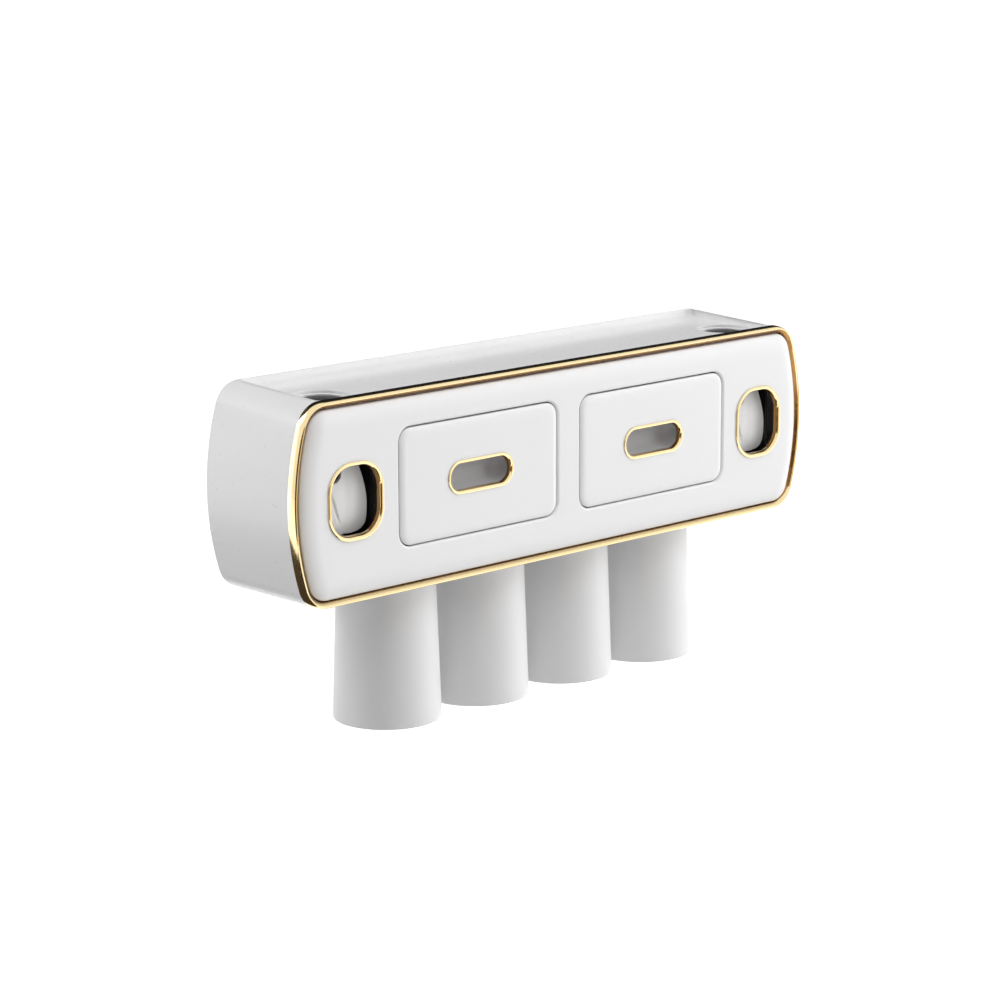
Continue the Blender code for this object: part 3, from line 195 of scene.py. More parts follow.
# One object from its parts: doubles merged, faces turned outwards, smooth but for sharp creases and its
# shading evened by face area; the parts whose numbers are in secondParts have the second finish.
def makePiece(name, parts, material, body, replaced, second=None, secondParts=()):
    offset = 0
    points = []
    faces = []
    slots = []
    for index, (partPoints, partFaces) in enumerate(parts):
        points.append(partPoints)
        faces += [[corner + offset for corner in face] for face in partFaces]
        slots += [1 if index in secondParts else 0] * len(partFaces)
        offset += len(partPoints)
    mesh = bpy.data.meshes.new(name)
    mesh.from_pydata(np.concatenate(points).tolist(), [], faces)
    mesh.materials.append(material)
    if second:
        mesh.materials.append(second)
        mesh.polygons.foreach_set("material_index", slots)
    shape = bmesh.new()
    shape.from_mesh(mesh)
    bmesh.ops.remove_doubles(shape, verts=shape.verts, dist=meshCare["merge"])
    bmesh.ops.dissolve_degenerate(shape, edges=shape.edges, dist=meshCare["collapse"])
    bmesh.ops.recalc_face_normals(shape, faces=shape.faces)
    shape.to_mesh(mesh)
    shape.free()
    mesh.shade_smooth()
    mesh.set_sharp_from_angle(angle=math.radians(meshCare["sharpDegrees"]))
    item = bpy.data.objects.new(name, mesh)
    bpy.context.scene.collection.objects.link(item)
    evening = item.modifiers.new("evenFaces", "WEIGHTED_NORMAL")
    evening.mode = "FACE_AREA"
    evening.weight = meshCare["evenWeight"]
    evening.keep_sharp = True
    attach(item, body)
    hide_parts(*replaced)
    return item


# Finishes

# A new material and the plain tools to wire it: its shader and the object's own coordinates.
def startFinish(name):
    material = bpy.data.materials.new(name)
    material.use_nodes = True
    tree = material.node_tree
    place = tree.nodes.new("ShaderNodeTexCoord")
    return material, tree, tree.nodes["Principled BSDF"], place.outputs["Object"]


# The value of a noise pattern at a place.
def addNoise(tree, place, scale, detail=2.0):
    noise = tree.nodes.new("ShaderNodeTexNoise")
    noise.inputs["Scale"].default_value = scale
    noise.inputs["Detail"].default_value = detail
    tree.links.new(place, noise.inputs["Vector"])
    return noise.outputs["Fac"]


# A value carried evenly from one range onto another and kept inside it.
def addRange(tree, value, low, high, fromLow=0.3, fromHigh=0.7):
    mapped = tree.nodes.new("ShaderNodeMapRange")
    mapped.inputs["From Min"].default_value = fromLow
    mapped.inputs["From Max"].default_value = fromHigh
    mapped.inputs["To Min"].default_value = low
    mapped.inputs["To Max"].default_value = high
    tree.links.new(value, mapped.inputs["Value"])
    return mapped.outputs["Result"]


# A colour between the first (value 0) and the second (value 1).
def addTint(tree, value, first, second):
    mixed = tree.nodes.new("ShaderNodeMix")
    mixed.data_type = "RGBA"
    mixed.inputs["A"].default_value = (*first, 1.0)
    mixed.inputs["B"].default_value = (*second, 1.0)
    tree.links.new(value, mixed.inputs["Factor"])
    return mixed.outputs["Result"]


# A bump whose height is a value, laid over an earlier one where there is one.
def addBump(tree, value, strength, distance, before=None):
    bump = tree.nodes.new("ShaderNodeBump")
    bump.inputs["Strength"].default_value = strength
    bump.inputs["Distance"].default_value = distance
    tree.links.new(value, bump.inputs["Height"])
    if before:
        tree.links.new(before, bump.inputs["Normal"])
    return bump.outputs["Normal"]


# Moulded or plated surface: two close tints by a broad pattern, roughness and ripple by a middle one, and
# a fine grain by bump.
def makeFinish(name, look):
    material, tree, shader, place = startFinish(name)
    broad = addNoise(tree, place, look["broadScale"])
    middle = addNoise(tree, place, look["middleScale"], look["middleDetail"])
    fine = addNoise(tree, place, look["grainScale"], look["grainDetail"])
    tint = addTint(tree, addRange(tree, broad, 0.0, 1.0), look["tint"], look["secondTint"])
    tree.links.new(tint, shader.inputs["Base Color"])
    tree.links.new(addRange(tree, middle, *look["roughness"]), shader.inputs["Roughness"])
    ripple = addBump(tree, middle, look["rippleStrength"], look["rippleDepth"])
    grain = addBump(tree, fine, look["grainStrength"], look["grainDepth"], ripple)
    tree.links.new(grain, shader.inputs["Normal"])
    shader.inputs["Metallic"].default_value = look["metallic"]
    shader.inputs["Specular IOR Level"].default_value = look["specular"]
    shader.inputs["Coat Weight"].default_value = look["coat"]
    shader.inputs["Coat Roughness"].default_value = look["coatRoughness"]
    return material


plainLook = {
    "broadScale": 14.0,
    "middleScale": 420.0,
    "middleDetail": 4.0,
    "grainScale": 2600.0,
    "grainDetail": 3.0,
    "rippleStrength": 0.04,
    "rippleDepth": 0.00004,
    "grainStrength": 0.05,
    "grainDepth": 0.00001,
    "metallic": 0.0,
    "specular": 0.5,
    "coat": 0.0,
    "coatRoughness": 0.1,
}
whiteLook = {**plainLook, "tint": (0.800, 0.800, 0.806), "secondTint": (0.812, 0.812, 0.817),
             "roughness": (0.27, 0.34), "coat": 0.12, "coatRoughness": 0.12}
frontLook = {**whiteLook, "roughness": (0.30, 0.38)}
cupLook = {**plainLook, "tint": (0.725, 0.725, 0.735), "secondTint": (0.740, 0.740, 0.748),
           "roughness": (0.40, 0.50), "middleScale": 700.0, "grainStrength": 0.16, "grainDepth": 0.00003}
goldLook = {**plainLook, "tint": (0.94, 0.75, 0.41), "secondTint": (0.95, 0.77, 0.45), "metallic": 1.0,
            "roughness": (0.10, 0.17), "middleScale": 260.0, "rippleStrength": 0.05, "grainScale": 4200.0}
blackLook = {**plainLook, "tint": (0.012, 0.012, 0.013), "secondTint": (0.020, 0.020, 0.021),
             "roughness": (0.34, 0.46), "grainStrength": 0.30, "grainDepth": 0.00003}
# A darker copy of the gold, used as painted shade on the inner edges of the trim ring and the rims.
paintedShadeGoldLook = {**goldLook, "tint": (0.42, 0.22, 0.075), "secondTint": (0.46, 0.25, 0.09),
              "roughness": (0.20, 0.30)}
siliconeLook = {**plainLook, "tint": (0.010, 0.010, 0.011), "secondTint": (0.016, 0.016, 0.017),
                "roughness": (0.46, 0.60), "grainStrength": 0.20, "specular": 0.12}
sleeveLook = {**siliconeLook, "tint": (0.10, 0.10, 0.104), "secondTint": (0.115, 0.115, 0.12)}
steelLook = {**plainLook, "tint": (0.58, 0.58, 0.60), "secondTint": (0.66, 0.66, 0.67), "metallic": 1.0,
             "roughness": (0.22, 0.34), "grainScale": 5200.0}
innerLook = {**plainLook, "tint": (0.74, 0.74, 0.75), "secondTint": (0.77, 0.77, 0.78),
             "roughness": (0.42, 0.54), "grainStrength": 0.30}
foamLook = {**plainLook, "tint": (0.70, 0.70, 0.68), "secondTint": (0.76, 0.76, 0.74),
            "roughness": (0.75, 0.90), "grainScale": 1500.0, "grainStrength": 0.8, "grainDepth": 0.0001,
            "specular": 0.3}
# The scoop's grey: partly the insert's own colour, and made darker still as painted shade of the recess.
scoopGreyAndShadeLook = {**plainLook, "tint": (0.39, 0.39, 0.40), "secondTint": (0.42, 0.42, 0.43),
             "roughness": (0.36, 0.46), "grainStrength": 0.2}
whitePlastic = makeFinish("whiteGlossPlastic", whiteLook)
scoopGreyAndShade = makeFinish("greySlotWithPaintedShade", scoopGreyAndShadeLook)
frontPlastic = makeFinish("frontGlossPlastic", frontLook)
cupPlastic = makeFinish("cupSatinPlastic", cupLook)
goldPlating = makeFinish("paleGoldPlating", goldLook)
paintedShadeGold = makeFinish("paintedShadeGold", paintedShadeGoldLook)
blackPlastic = makeFinish("blackFramePlastic", blackLook)
darkSilicone = makeFinish("darkSilicone", siliconeLook)
greySilicone = makeFinish("greySilicone", sleeveLook)
brightSteel = makeFinish("brightSteel", steelLook)
innerPlastic = makeFinish("innerWhitePlastic", innerLook)
foamPad = makeFinish("foamAdhesive", foamLook)
print("finishes made")


# Housing with its tray

trayShape = {
    "halfWidth": 0.1652,
    "floor": 0.0475,
    "frontLip": 0.0016,
    "backRim": 0.0017,
    "corner": 0.0060,
    "cornerSteps": 10,
    "sideFillet": 0.0026,
    "backFillet": 0.0055,
    "frontFillet": 0.0012,
    "draft": 0.0003,
    "wallShare": 0.35,  # of the way to the floor that is upright
    "edgeRound": 0.0005,
    "edgeSteps": 5,
    "filletSteps": 12,
    "portX": 0.1464,
    "portY": -0.0455,
    "portRadius": 0.0147,
    "portRound": 0.0003,
    "portRoundSteps": 4,
    "portSteps": 96,
}
housingShape = {
    "frontRound": 0.0004,
    "backRound": 0.0008,
    "roundSteps": 5,
    "openingHalfWidth": 0.1480,
    "openingFront": 0.0038,
    "openingBack": 0.0070,
    "openingCorner": 0.0050,
    "openingSteps": 8,
    "bossRadius": 0.0046,
    "bossBore": 0.0018,
    "bossBack": -0.0037,
    "bossLength": 0.0110,
    "bossSteps": 28,
    "screwX": 0.1610,
    "screwHigh": 0.0405,
    "screwLow": -0.0469,
}


# Height of the sloping top at a depth: it rises evenly from front to back.
def topAt(y):
    s = bodyShape
    share = (y - s["frontY"]) / (s["backY"] - s["frontY"])
    return s["topFront"] + (s["topBack"] - s["topFront"]) * share


# One loop of the tray's wall: a rounded box drawn in by inset on all sides and by the fillet's spread,
# dropped below the sloping top by drop, or by a share of the way to the floor.
def trayLoop(inset, spread, drop=0.0, sink=None):
    t = trayShape
    s = bodyShape
    side = t["halfWidth"] - inset - t["sideFillet"] * spread
    loop = roundedBox(
        -side,
        side,
        s["frontY"] + t["frontLip"] + inset + t["frontFillet"] * spread,
        s["backY"] - t["backRim"] - inset - t["backFillet"] * spread,
        t["corner"] - inset,
        t["cornerSteps"],
    )
    rim = topAt(loop[:, 1])
    height = rim - drop if sink is None else rim - (rim - t["floor"]) * sink
    return np.column_stack([loop, height])


# The housing: an outer and an inner skin with round edges between them; the tray is let into its top, the
# ports go through the tray's floor, and the bottom has a wide opening.
def makeHousing():
    s = bodyShape
    t = trayShape
    h = housingShape
    parts = []
    size = 4 * (s["cornerSteps"] + 1) + 2 * (s["sideSteps"] - 1)
    top, low = size - 1, size // 2 - 1  # edges of a loop that run along the top and the bottom

    # outer skin at a depth, drawn in by inset
    def outerAt(y, inset):
        loop = barrelLoop(inset, topAt(y) - inset, s["bottom"] + inset, s["cornerRadius"] - inset)
        return alongY(loop, y)

    # flat strip between a front and a back loop along one of their edges, less its holes
    def addStrip(front, back, edge, holes):
        after = (edge + 1) % size
        addCap(parts, [front[edge], front[after], back[after], back[edge]], holes)

    frontEdge = quarter(h["frontRound"], h["frontRound"], h["roundSteps"])
    backEdge = quarter(h["backRound"], h["backRound"], h["roundSteps"])
    frontRings = [outerAt(s["frontY"] + y, inset) for y, inset in frontEdge]
    backRings = [outerAt(s["backY"] - y, inset) for y, inset in backEdge]
    outerFront, outerBack = frontRings[-1], backRings[-1]
    addRings(parts, frontRings)
    addRings(parts, backRings)
    addRings(parts, [outerFront, outerBack], skip=(top, low))
    innerLoop = barrelLoop(s["wall"], s["ceiling"], s["floor"], s["innerCorner"])
    innerFront, innerBack = alongY(innerLoop, s["frontY"]), alongY(innerLoop, s["backY"])
    addRings(parts, [frontRings[0], innerFront])
    addRings(parts, [backRings[0], innerBack])
    addRings(parts, [innerFront, innerBack], skip=(top, low))

    # tray: rounded rim, short upright wall, fillet down to the floor
    r = t["edgeRound"]
    turn = np.linspace(0.0, math.pi / 2, t["edgeSteps"] + 1)
    rim = [trayLoop(r * (math.sin(a) - 1.0), 0.0, r * (1.0 - math.cos(a))) for a in turn]
    turn = np.linspace(0.0, math.pi / 2, t["filletSteps"] + 1)
    share = t["wallShare"]
    wall = [trayLoop(t["draft"], 1.0 - math.cos(a), sink=share + (1.0 - share) * math.sin(a)) for a in turn]
    addRings(parts, rim + wall)

    # port holes with a small round edge
    floorHoles = []
    ceilingHoles = []
    edge = quarter(t["portRound"], t["portRound"], t["portRoundSteps"])
    levels = [(t["portRound"] - across, t["floor"] - t["portRound"] + up) for across, up in edge]
    levels.append((0.0, s["ceiling"]))
    for side, _ in sides:
        loops = [alongZ(circleLoop(side * t["portX"], t["portY"], t["portRadius"] + grow, t["portSteps"]), z)
                 for grow, z in levels]
        addRings(parts, loops)
        floorHoles.append(loops[0])
        ceilingHoles.append(loops[-1])
    addCap(parts, wall[-1], floorHoles)
    addStrip(outerFront, outerBack, top, [rim[0]])
    addStrip(innerFront, innerBack, top, ceilingHoles)

    # opening in the bottom for the base plate
    half = h["openingHalfWidth"]
    opening = roundedBox(-half, half, s["frontY"] + h["openingFront"], s["backY"] - h["openingBack"],
                         h["openingCorner"], h["openingSteps"])
    lower, upper = alongZ(opening, s["bottom"]), alongZ(opening, s["floor"])
    addRings(parts, [lower, upper])
    addStrip(outerFront, outerBack, low, [lower])
    addStrip(innerFront, innerBack, low, [upper])

    # screw bosses on the inside: tubes given by radius and distance from their back end
    tube = ((h["bossBore"], 0.0), (h["bossRadius"], 0.0),
            (h["bossRadius"], h["bossLength"]), (h["bossBore"], h["bossLength"]))
    for side, _ in sides:
        for z in (h["screwHigh"], h["screwLow"]):
            loops = [alongY(circleLoop(side * h["screwX"], z, radius, h["bossSteps"]), h["bossBack"] - ahead)
                     for radius, ahead in tube]
            addRings(parts, loops, closeRows=True)
    return makePiece("housingShell", parts, whitePlastic, "holder", ("housing",))


makeHousing()
print("housing made")


# Trim ring, front panel and rims

trimShape = {
    "proud": 0.0005,  # beyond the body's outline
    "backY": -0.0646,
    "frontY": -0.0696,
    "width": 0.0037,
    "crownAt": 0.0016,  # where the section is highest, from its outside
    "outerDepth": 0.0049,
    "innerDepth": 0.0023,
    "innerPower": 1.3,
    "steps": 14,
    "paintedShadeFromRow": 17,  # the first row of the section that has the painted shade anywhere
    "paintedShadeHeights": (-0.0530, -0.0400, 0.0340, 0.0470),
    "leftPaintedShadeRow": (27, 27, 27, 17),  # at these heights the painted shade starts from this row
    "rightPaintedShadeRow": (27, 20, 20, 17),
}
panelShape = {
    "border": 0.0040,
    "borderY": -0.0674,
    "faceY": -0.0710,
    "thickness": 0.0026,
    "roll": 0.0095,
    "rollSteps": 18,
    "drawerGap": 0.00045,
    "openingRound": 0.0015,
    "openingSteps": 6,
}
rimShape = {
    "gap": 0.0003,  # between a rim and the front that holds it
    "steps": 12,
    "wallFrom": 19,  # the steep inner wall lies between these two rows of the section
    "wallTo": 25,
}
windowShape = {
    "x": 0.1470,
    "z": -0.0017,
    "width": 0.0360,
    "height": 0.0394,
    "corner": 0.0146,
    "rim": 0.0026,
    "rimDepth": 0.0020,
    "proud": 0.0007,
    "fall": 0.0020,
    "crest": 0.0010,
    "paintedShadeRightOf": 0.0090,  # painted shade in darker gold right of this, from the window's middle
    "steps": 20,
}
drawerShape = {
    "x": 0.06325,
    "width": 0.1093,
    "height": 0.0600,
    "corner": 0.0075,
    "shrink": 0.0002,  # the front is smaller than its outline by this all round
    "faceY": -0.0714,
    "backY": -0.0684,
    "roll": 0.0042,
    "rollDepth": 0.0014,
    "rollSteps": 10,
    "steps": 14,
    "slotWidth": 0.0454,
    "slotHeight": 0.0176,
    "slotRim": 0.0022,
    "slotRimDepth": 0.0022,
    "slotProud": 0.0004,
    "slotFall": 0.0018,
    "slotCrest": 0.0008,
    "slotPaintedShadeRightOf": 0.0125,  # painted shade in darker gold right of this, from the slot's middle
    "scoopDepth": 0.0095,
    "scoopWall": 0.0014,
    "scoopBackShare": 0.7,
    "slotSteps": 44,
}


# The ring's closed section: quarter ellipse outside, power curve falling inwards and straight sides. On the
# falling side the ring has darker gold as painted shade from a row that changes evenly with height and side,
# and gold before it.
def makeTrimRing():
    t = trimShape
    turn = np.linspace(math.pi, math.pi / 2, t["steps"] + 1)
    outer = np.stack([t["crownAt"] * (1.0 + np.cos(turn)), t["outerDepth"] * (1.0 - np.sin(turn))], 1)
    share = np.linspace(0.0, 1.0, t["steps"] + 1)[1:]
    inner = np.stack([t["crownAt"] + (t["width"] - t["crownAt"]) * share,
                      t["innerDepth"] * share ** t["innerPower"]], 1)
    section = [(0.0, t["backY"])]
    section += [(along, t["frontY"] + deep) for along, deep in np.concatenate([outer, inner])]
    section += [(t["width"], t["backY"])]
    loops = [alongY(frontLoop(inset - t["proud"]), y) for inset, y in section]
    x, z = loops[0][:, 0], loops[0][:, 2]
    # the row where the painted shade starts at each point of the ring, earlier on the right side
    start = np.where(x > 0.0, np.interp(z, t["paintedShadeHeights"], t["rightPaintedShadeRow"]),
                     np.interp(z, t["paintedShadeHeights"], t["leftPaintedShadeRow"]))
    parts = []
    addRings(parts, [loops[-1]] + loops[:t["paintedShadeFromRow"] + 1])
    for row in range(t["paintedShadeFromRow"], len(loops) - 1):
        addRings(parts, loops[row:row + 2], skip=np.flatnonzero(start > row))  # odd parts carry the painted shade
        addRings(parts, loops[row:row + 2], skip=np.flatnonzero(start <= row))
    return makePiece("goldTrimRing", parts, goldPlating, "holder", ("trim_ring",),
                     second=paintedShadeGold, secondParts=range(1, len(parts), 2))


# Outlines of a window, a drawer and its finger slot on either side, grown by a margin.
def windowLoop(side, grow):
    w = windowShape
    x, z = side * w["x"], w["z"]
    return roundedBox(x - w["width"] / 2 - grow, x + w["width"] / 2 + grow,
                      z - w["height"] / 2 - grow, z + w["height"] / 2 + grow, w["corner"] + grow, w["steps"])


def drawerLoop(side, grow):
    d = drawerShape
    x = side * d["x"]
    return roundedBox(x - d["width"] / 2 - grow, x + d["width"] / 2 + grow,
                      -d["height"] / 2 - grow, d["height"] / 2 + grow, d["corner"] + grow, d["steps"])


def fingerLoop(side, grow):
    d = drawerShape
    return slotLoop(side * d["x"], 0.0, d["slotWidth"] + 2 * grow, d["slotHeight"] + 2 * grow, d["slotSteps"])


# The front panel: flat with four openings, its border rolled back on a quarter ellipse; the drawers'
# openings have round edges.
def makeFrontPanel():
    p = panelShape
    parts = []
    turn = np.linspace(0.0, math.pi / 2, p["rollSteps"] + 1)
    inset = p["border"] + p["roll"] * (1.0 - np.cos(turn))
    sink = (p["borderY"] - p["faceY"]) * (1.0 - np.sin(turn))
    front = [alongY(frontLoop(i), p["faceY"] + k) for i, k in zip(inset, sink)]
    back = [loop + (0.0, p["thickness"], 0.0) for loop in front]
    addRings(parts, front)
    addRings(parts, back)
    addRings(parts, [front[0], back[0]])
    frontHoles = []
    backHoles = []
    edge = quarter(p["openingRound"], p["openingRound"], p["openingSteps"])
    windowGrow = rimShape["gap"] - windowShape["rim"] / 2
    backY = p["faceY"] + p["thickness"]
    for side, _ in sides:
        window = [alongY(windowLoop(side, windowGrow), y) for y in (p["faceY"], backY)]
        opening = [alongY(drawerLoop(side, p["drawerGap"] + grow), p["faceY"] + deep) for deep, grow in edge]
        opening.append(alongY(drawerLoop(side, p["drawerGap"]), backY))
        for loops in (window, opening):
            addRings(parts, loops)
            frontHoles.append(loops[0])
            backHoles.append(loops[-1])
    addCap(parts, front[-1], frontHoles)
    addCap(parts, back[-1], backHoles)
    return makePiece("frontPanel", parts, frontPlastic, "holder", ("front_plate",))


# A rim's section: quarter ellipse outside up to the crest, a deeper one inwards, then a short tube behind.
def rimSection(width, crest, proud, fall, depth, faceY):
    turn = np.linspace(0.0, math.pi / 2, rimShape["steps"] + 1)
    foot = faceY - rimShape["gap"]
    top = foot - proud
    outside = [(crest * (1.0 - math.cos(a)), top + proud * (1.0 - math.sin(a))) for a in turn]
    inside = [(crest + (width - crest) * math.sin(a), top + (proud + fall) * (1.0 - math.cos(a)))
              for a in turn[1:]]
    return outside + inside + [(width, faceY + depth), (width / 2, faceY + depth), (width / 2, foot)]


# A rim from its section's loops. Its steep inner wall has darker gold as painted shade where x is beyond the
# given limit.
def makeRim(name, loops, paintedShadeBeyond, body, node):
    wallFrom, wallTo = rimShape["wallFrom"], rimShape["wallTo"]
    paintedShadeColumns = loops[0][:, 0] > paintedShadeBeyond
    parts = []
    addRings(parts, loops[wallTo:] + loops[:wallFrom + 1])
    addRings(parts, loops[wallFrom:wallTo + 1], skip=np.flatnonzero(paintedShadeColumns))
    addRings(parts, loops[wallFrom:wallTo + 1], skip=np.flatnonzero(~paintedShadeColumns))
    return makePiece(name, parts, goldPlating, body, (node,), second=paintedShadeGold, secondParts=(2,))


# The windows' rims: the rim's section carried round each window's outline, with painted shade on the right of
# the inner wall.
def makeWindowRims():
    w = windowShape
    section = rimSection(w["rim"], w["crest"], w["proud"], w["fall"], w["rimDepth"], panelShape["faceY"])
    for side, word in sides:
        loops = [alongY(windowLoop(side, -inset), y) for inset, y in section]
        makeRim("windowRing_" + word, loops, side * w["x"] + w["paintedShadeRightOf"], "holder", "window_rim_" + word)


makeTrimRing()
makeFrontPanel()
makeWindowRims()
print("front made")


# Drawers

# A drawer's front: a flat face whose edge rolls back on a quarter ellipse, and a closed scoop behind its
# slot whose bottom is rounded on a quarter circle.
def makeDrawerFront(side, word):
    d = drawerShape
    parts = []
    turn = np.linspace(0.0, math.pi / 2, d["rollSteps"] + 1)
    rows = [alongY(drawerLoop(side, -d["shrink"] - d["roll"] * (1.0 - math.cos(a))),
                   d["faceY"] + d["rollDepth"] * (1.0 - math.sin(a))) for a in turn]
    back = alongY(drawerLoop(side, -d["shrink"]), d["backY"])
    addRings(parts, [back] + rows)
    neck = rimShape["gap"] - d["slotRim"] / 2
    ledge = d["faceY"] + d["slotRimDepth"] + rimShape["gap"]
    deep = d["faceY"] + d["scoopDepth"]
    bend = d["slotHeight"] / 2 - d["slotRim"]
    bowl = [(-d["slotRim"] - bend * (1.0 - math.cos(a)), deep - bend * (1.0 - math.sin(a))) for a in turn]
    inside = [(neck, d["faceY"]), (neck, ledge), (-d["slotRim"], ledge)] + bowl
    outside = [(neck + d["scoopWall"], d["backY"]),
               (neck + d["scoopWall"], d["faceY"] + d["scoopDepth"] * d["scoopBackShare"]),
               (-d["slotRim"], deep + d["scoopWall"])]
    inner = [alongY(fingerLoop(side, grow), y) for grow, y in inside]
    outer = [alongY(fingerLoop(side, grow), y) for grow, y in outside]
    addRings(parts, inner)  # this part and the next one are grey, partly their own colour and partly painted shade of the recess
    addCap(parts, inner[-1])
    addRings(parts, outer)
    addCap(parts, outer[-1])
    addCap(parts, rows[-1], [inner[0]])
    addCap(parts, back, [outer[0]])
    return makePiece("drawerPanel_" + word, parts, frontPlastic, "drawer_" + word, ("drawer_front_" + word,),
                     second=scoopGreyAndShade, secondParts=(1, 2))


# A finger slot's rim: the rim's section carried round the slot's outline, with painted shade on the right of
# the inner wall.
def makeFingerRing(side, word):
    d = drawerShape
    section = rimSection(d["slotRim"], d["slotCrest"], d["slotProud"], d["slotFall"], d["slotRimDepth"],
                         d["faceY"])
    loops = [alongY(fingerLoop(side, -inset), y) for inset, y in section]
    paintedShadeBeyond = side * d["x"] + d["slotPaintedShadeRightOf"]
    makeRim("fingerRing_" + word, loops, paintedShadeBeyond, "drawer_" + word, "finger_rim_" + word)


for side, word in sides:
    makeDrawerFront(side, word)
    makeFingerRing(side, word)
print("drawers made")


# Toothpaste ports, bulbs and squeeze pads

portShape = {
    "collarTop": 0.0461,
    "collarRadius": 0.0142,
    "collarNeck": 0.0132,
    "neckLow": 0.0390,
    "flangeLow": 0.0447,
    "edgeRound": 0.0004,
    "edgeSteps": 5,
    "gap": 0.0003,
    "sleeveRadius": 0.0118,
    "sleeveWall": 0.0030,
    "sleeveTop": 0.0455,
    "sleeveLow": 0.0270,
    "lipHeight": 0.0008,
    "lipSteps": 8,
    "shoulder": 0.0060,
    "throat": 0.0026,
    "spout": 0.0050,
    "ribStart": 0.0016,
    "ribDepth": 0.00035,
    "ribSpacing": 0.0030,
    "ribSteps": 25,
    "steps": 72,
}
bulbShape = {
    "radius": 0.0095,
    "top": 0.0267,
    "topEdge": 0.0003,
    "topShare": 0.96,  # the flat top's radius, as a share of the neck's
    "neck": 0.0242,
    "shoulder": 0.0150,
    "shoulderSteps": 13,
    "waist": -0.0020,
    "tip": -0.0070,
    "tipSteps": 8,
    "steps": 48,
}
nozzleShape = {
    "x": -0.0068,
    "z": 0.0117,
    "bore": 0.0015,
    "boreEdge": 0.0003,
    "radius": 0.0034,
    "edge": 0.0002,
    "frontY": -0.0625,
    "boreY": -0.0540,
    "backY": -0.0500,
    "steps": 36,
}


# The collar: a turned ring with a flange, its top edges rounded on quarter circles.
def makeCollar(side, word):
    p = portShape
    bore = p["sleeveRadius"] + p["gap"]
    r = p["edgeRound"]
    top = p["collarTop"] - r
    profile = np.concatenate([
        [(bore, p["neckLow"])],
        arcLoop(bore + r, top, r, 180.0, 90.0, p["edgeSteps"]),
        arcLoop(p["collarRadius"] - r, top, r, 90.0, 0.0, p["edgeSteps"]),
        [(p["collarRadius"], p["flangeLow"]), (p["collarNeck"], p["flangeLow"])],
        [(p["collarNeck"], p["neckLow"])],
    ])
    rings = turnedRings(profile, side * trayShape["portX"], trayShape["portY"], p["steps"])
    parts = []
    addRings(parts, rings, closeRows=True)
    return makePiece("tubeCollar_" + word, parts, whitePlastic, "holder", ("port_collar_" + word,))


# The sleeve: a turned funnel with a lip that is half an ellipse, a narrow throat and soft grip ribs inside,
# the square of a sine of the depth where the sine is above zero.
def makeSleeve(side, word):
    p = portShape
    bore = p["sleeveRadius"] - p["sleeveWall"]
    low, shoulder, top = p["sleeveLow"], p["sleeveLow"] + p["shoulder"], p["sleeveTop"]
    turn = np.linspace(0.0, math.pi, p["lipSteps"] + 1)
    lip = np.stack([p["sleeveRadius"] - p["sleeveWall"] / 2 * (1.0 - np.cos(turn)),
                    top - p["lipHeight"] * (1.0 - np.sin(turn))], 1)
    height = np.linspace(top - p["ribStart"], shoulder + p["sleeveWall"], p["ribSteps"] + 1)
    rib = p["ribDepth"] * np.maximum(0.0, np.sin((top - height) / p["ribSpacing"] * math.pi)) ** 2
    profile = np.concatenate([
        [(p["throat"], low), (p["spout"], low), (p["sleeveRadius"], shoulder)],
        lip,
        np.stack([bore - rib, height], 1),
        [(p["throat"], low + p["sleeveWall"])],
    ])
    rings = turnedRings(profile, side * trayShape["portX"], trayShape["portY"], p["steps"])
    parts = []
    addRings(parts, rings, closeRows=True)
    return makePiece("tubeSleeve_" + word, parts, greySilicone, "holder", ("tube_sleeve_" + word,))


# The bulb: a turned bottle shape whose shoulder widens by the smooth step 3 k^2 - 2 k^3 and whose bottom is
# a quarter ellipse, with a nozzle tube that looks forwards.
def makeBulb(side, word):
    b = bulbShape
    n = nozzleShape
    x, y = side * trayShape["portX"], trayShape["portY"]
    neck = portShape["spout"]
    share = np.linspace(0.0, 1.0, b["shoulderSteps"] + 1)[1:]
    ease = share * share * (3.0 - 2.0 * share)
    turn = np.linspace(0.0, math.pi / 2, b["tipSteps"] + 1)
    profile = np.concatenate([
        [(0.0, b["top"]), (neck * b["topShare"], b["top"])],
        [(neck, b["top"] - b["topEdge"]), (neck, b["neck"])],
        np.stack([neck + (b["radius"] - neck) * ease, b["neck"] - (b["neck"] - b["shoulder"]) * share], 1),
        np.stack([b["radius"] * np.cos(turn), b["waist"] + (b["tip"] - b["waist"]) * np.sin(turn)], 1),
    ])
    parts = []
    addRings(parts, turnedRings(profile, x, y, b["steps"]))
    nozzle = ((n["bore"], n["boreY"]), (n["bore"], n["frontY"] + n["edge"]),
              (n["bore"] + n["boreEdge"], n["frontY"]), (n["radius"] - n["edge"], n["frontY"]),
              (n["radius"], n["frontY"] + n["edge"]), (n["radius"], n["backY"]))
    rings = [alongY(circleLoop(x + n["x"], n["z"], radius, n["steps"]), py) for radius, py in nozzle]
    addRings(parts, rings)
    addCap(parts, rings[0])
    bulb = makePiece("pumpBulb_" + word, parts, darkSilicone, "holder", ("pump_bulb_" + word,))
    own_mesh(bulb)
    return bulb


